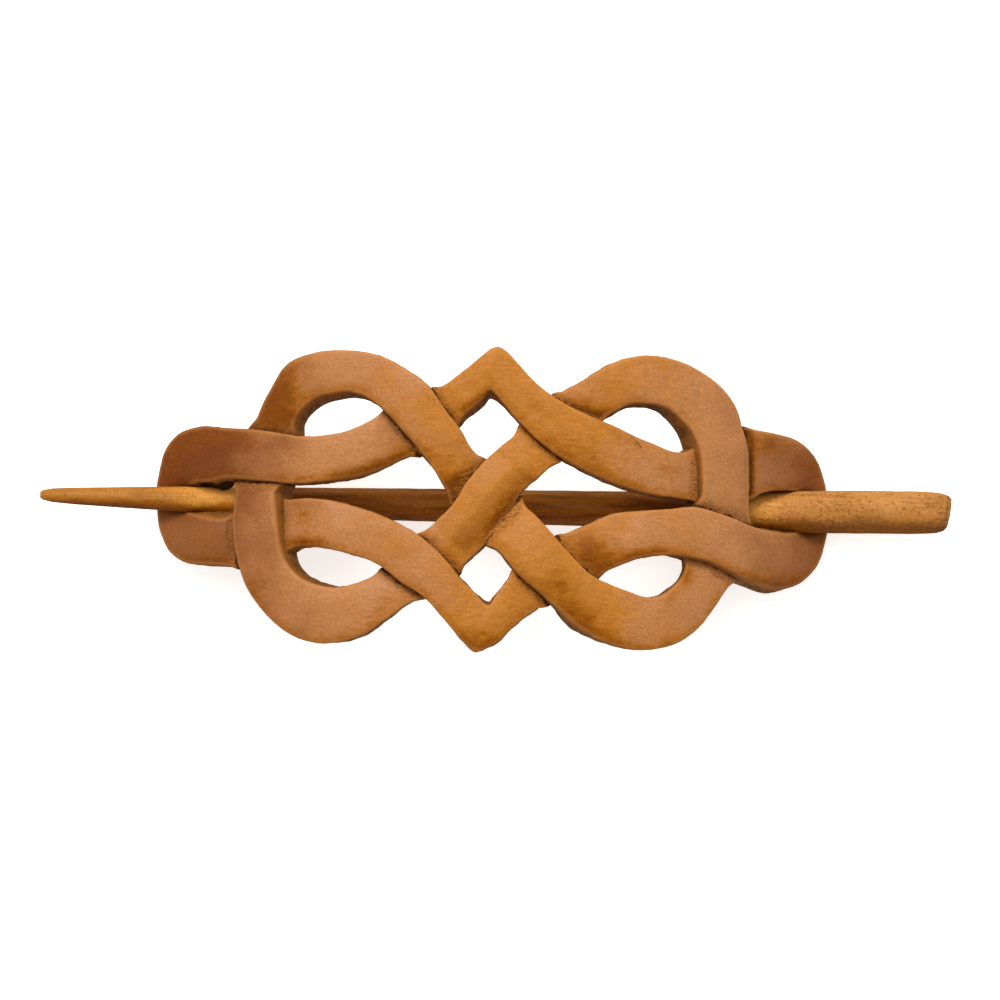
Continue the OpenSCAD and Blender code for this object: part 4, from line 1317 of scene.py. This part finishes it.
def make_carved_wood():
    material, tree, shader, place = start_wood("carved_fruitwood")
    value = {
        name: put(tree, "Attribute", attribute_name=name).outputs["Fac"]
        for name in ("crossing", "oil", "torn", "rim", "wall")
    }
    grain = use_group(tree, grain_group, place=place, fibre_length=7.0, line_spacing=0.48 * mm)
    wear_and_shade = use_group(tree, wear_and_shade_group, place=place, **value)
    ridges = use_group(tree, sawn_group, place=place)["Ridges"]
    marks = all_knife_marks(tree, place)
    parts = put(tree, "SeparateXYZ", {0: place}).outputs
    from_middle = calculate(tree, "ABSOLUTE", calculate(tree, "SUBTRACT", parts[0], MIDDLE_OF_GOLD))
    from_middle = shifted(tree, from_middle, grain["Clouds"], 50 * mm)
    colour = blend_colour(tree, ramp(tree, from_middle, 8 * mm, 28 * mm), CENTRE_GOLD, SIDE_TAN)
    # oil, with painted shade on the edges that face away from the light
    colour = lay_coats(
        tree, colour, (wear_and_shade["Oiled and shaded"], 1.0, ORANGE_OF_OIL_AND_SHADE), (wear_and_shade["Deep oil"], 0.9, DEEP_BROWN),
        (end_stain(tree, grain, wear_and_shade, parts[0], parts[1]), 1.0, END_RED),
    )
    colour = brighten(tree, colour, grain["Mottle"], 0.86, 1.14)
    colour = brighten(tree, colour, grain["Fibres"], 0.90, 1.10)
    colour = lay_coats(
        tree, colour, (grain["Growth lines"], 0.20, DEEP_BROWN), (wear_and_shade["Rubbed"], 0.30, RUBBED_TAN),
    )
    lit_fibres = blend_colour(tree, 0.40, colour, TORN_GOLD)
    # stain and painted shade at the crossings
    stained_and_shaded = blend_colour(tree, 1.0, colour, STAIN_AND_SHADE_TINT, "MULTIPLY")
    torn_stained_shaded_colour = blend_colour(tree, wear_and_shade["Splinters"], stained_and_shaded, lit_fibres)
    wall_colour = blend_colour(tree, ridges, WALL_BROWN, WALL_LIGHT)
    wall_colour = blend_colour(tree, ramp(tree, value["wall"], 0.70, 1.0), WALL_TOP, wall_colour)
    colour = lay_coats(
        tree, colour, (wear_and_shade["Stain and shade"], 0.70, torn_stained_shaded_colour), (wear_and_shade["Splintered"], 0.80, torn_stained_shaded_colour),
        (ramp(tree, value["wall"], 0.0, 0.7), 1.0, wall_colour), (marks, 0.70, CROSSING_BROWN),
        # painted shade: seams, corners and the listed hollows go dark
        (wear_and_shade["Seam dirt and painted shade"], 0.72, DIRT_AND_SHADE_BROWN), (wear_and_shade["Packed dirt and painted shade"], 0.65, PACKED_DIRT_AND_SHADE),
    )
    rough = calculate(tree, "MULTIPLY_ADD", grain["Mottle"], 0.14, 0.34)
    rough = plus(tree, plus(tree, rough, wear_and_shade["Stain and shade"], 0.18), value["wall"], 0.25)
    rough = plus(tree, rough, wear_and_shade["Seam dirt and painted shade"], 0.4, clamp=True)
    height = plus(tree, times(tree, grain["Mottle"], 0.30), grain["Fibres"], 0.22)
    height = plus(tree, height, marks, -1.4)
    rough_places = calculate(tree, "MAXIMUM", wear_and_shade["Stain and shade"], wear_and_shade["Splintered"])
    height = plus(tree, height, times(tree, rough_places, wear_and_shade["Splinters"]), 0.7)
    height = plus(tree, height, times(tree, ridges, value["wall"]), 0.8)
    shader.inputs["Specular IOR Level"].default_value = 0.12
    finish_wood(tree, shader, colour, rough, height, 0.55)
    return material


carved_knot.data.materials.clear()
carved_knot.data.materials.append(make_carved_wood())
print("finish:", carved_knot.data.materials[0].name)

# %% [markdown]
# ## The stick's wood
# The stick is a lighter, golden wood with long streaks and many small dark flecks, most of them at the
# thick end. Under the arch it is much darker, partly from the hair and oil that rub it and partly as
# painted shade of the arch. Its lower flank is painted a deeper orange as shade, and painted shade darkens
# it where wood stands close by. Where it goes in and out of the slots its colour is paler than the real
# wood: painted light that makes up for shade that is too deep there, so two pale bands show when the stick
# is slid out.

# %% Stick wood
TIP_TAN = (0.415, 0.152, 0.018, 1)
PALE_GOLD = (0.49, 0.205, 0.046, 1)
AMBER = (0.40, 0.140, 0.008, 1)
HONEY = (0.34, 0.118, 0.005, 1)
STREAK = (0.13, 0.040, 0.003, 1)
# partly a handling stain, partly painted shade of the arch
HANDLED_STAIN_AND_SHADE = (0.34, 0.108, 0.002, 1)
# the flecks, and painted shade where wood stands close by
FLECK_AND_CORNER_SHADE = (0.150, 0.048, 0.004, 1)
# painted light: paler than the wood, making up for too deep shade in and beside the slots
SLOT_PAINTED_LIGHT = (0.70, 0.295, 0.050, 1)
# painted shade on the lower flank
FLANK_SHADE_TINT = (0.60, 0.43, 0.03, 1)
DARK_MIDDLE = {"left end": -40 * mm, "right end": 37 * mm, "soft": 4 * mm}
HALF_THICKNESS = {"tip": 1.4 * mm, "butt": 3.5 * mm}


def dark_middle(tree, x):
    """The stretch of the stick under the arch, darker partly from handling and partly as painted shade."""
    soft = DARK_MIDDLE["soft"]
    left = ramp(tree, x, DARK_MIDDLE["left end"] - soft, DARK_MIDDLE["left end"] + soft)
    right = ramp(tree, x, DARK_MIDDLE["right end"] + soft, DARK_MIDDLE["right end"] - soft)
    return times(tree, left, right)


def make_stick_wood():
    material, tree, shader, place = start_wood("flecked_stick_wood")
    parts = put(tree, "SeparateXYZ", {0: place}).outputs
    x = parts[0]
    grain = use_group(tree, grain_group, place=place, fibre_length=16.0, line_spacing=0.9 * mm)
    streaks = noise(tree, stretched(tree, place, (0.10, 1, 1)), 900, 4, 0.6)
    flecks = noise(tree, stretched(tree, place, (0.75, 1, 1)), 1700, 5, 0.75)
    middle = dark_middle(tree, x)
    honey = times(tree, ramp(tree, grain["Clouds"], 0.40, 0.60), ramp(tree, x, 30 * mm, 45 * mm, 1.0, 0.30))
    between_slots = times(tree, ramp(tree, x, -60 * mm, -44 * mm), ramp(tree, x, 50 * mm, 42 * mm))
    # painted light: the stretch at the slots, outside the dark middle
    painted_light_at_slots = times(tree, between_slots, calculate(tree, "SUBTRACT", 1.0, middle))
    gold_streaks = times(tree, middle, ramp(tree, streaks, 0.52, 0.36, 0.0, 0.80))
    streaked = times(tree, ramp(tree, streaks, 0.50, 0.68, 0.0, 0.70), ramp(tree, middle, 0, 1, 0.45, 1.0))
    colour = blend_colour(tree, ramp(tree, x, -30 * mm, 30 * mm), TIP_TAN, PALE_GOLD)
    colour = lay_coats(
        tree, colour, (honey, 1.0, HONEY), (painted_light_at_slots, 1.0, SLOT_PAINTED_LIGHT), (middle, 0.80, HANDLED_STAIN_AND_SHADE),
        (gold_streaks, 1.0, AMBER), (streaked, 1.0, STREAK),
    )
    colour = brighten(tree, colour, grain["Mottle"], 0.85, 1.15)
    thickness = ramp(tree, x, -65 * mm, 60 * mm, HALF_THICKNESS["tip"], HALF_THICKNESS["butt"])
    lower = calculate(tree, "DIVIDE", shifted(tree, parts[1], grain["Clouds"], 3 * mm), thickness)
    under = ramp(tree, lower, -0.05, -0.75)
    # painted shade: the lower flank, away from the light above, goes darker and deeper orange
    painted_shade_on_flank = times(tree, under, ramp(tree, middle, 0.0, 1.0, 1.0, 0.75))
    colour = blend_colour(tree, painted_shade_on_flank, colour, FLANK_SHADE_TINT, "MULTIPLY")
    many = plus(tree, ramp(tree, x, -30 * mm, 60 * mm, -0.01, 0.05), under, 0.07)
    clustered = shifted(tree, many, grain["Clouds"], 0.22)
    flecked = ramp(tree, calculate(tree, "ADD", flecks, clustered), 0.58, 0.70)
    # painted shade: ambient occlusion darkens the stick where wood stands close by
    painted_shade_in_corners = ramp(tree, openness(tree, 1.5 * mm), 0.40, 0.10, 0.0, 0.4)
    colour = lay_coats(tree, colour, (flecked, 0.55, FLECK_AND_CORNER_SHADE), (painted_shade_in_corners, 1.0, FLECK_AND_CORNER_SHADE))
    rough = calculate(tree, "MULTIPLY_ADD", streaks, 0.2, 0.36)
    height = plus(tree, times(tree, streaks, 0.8), flecked, -0.8)
    shader.inputs["Specular IOR Level"].default_value = 0.15
    finish_wood(tree, shader, colour, rough, height, 0.6)
    return material


carved_stick.data.materials.append(make_stick_wood())
print("finish:", carved_stick.data.materials[0].name)

# %% [markdown]
# ## The size of the finer skin
# The finer skin has to stay as large as the solid model, so both boxes are printed.

# %% Sizes
visual_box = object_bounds()
for name, (low, high) in (("CAD", cad_box), ("visual", visual_box)):
    print(name, "box, mm:", [round(c / mm, 2) for c in high - low])
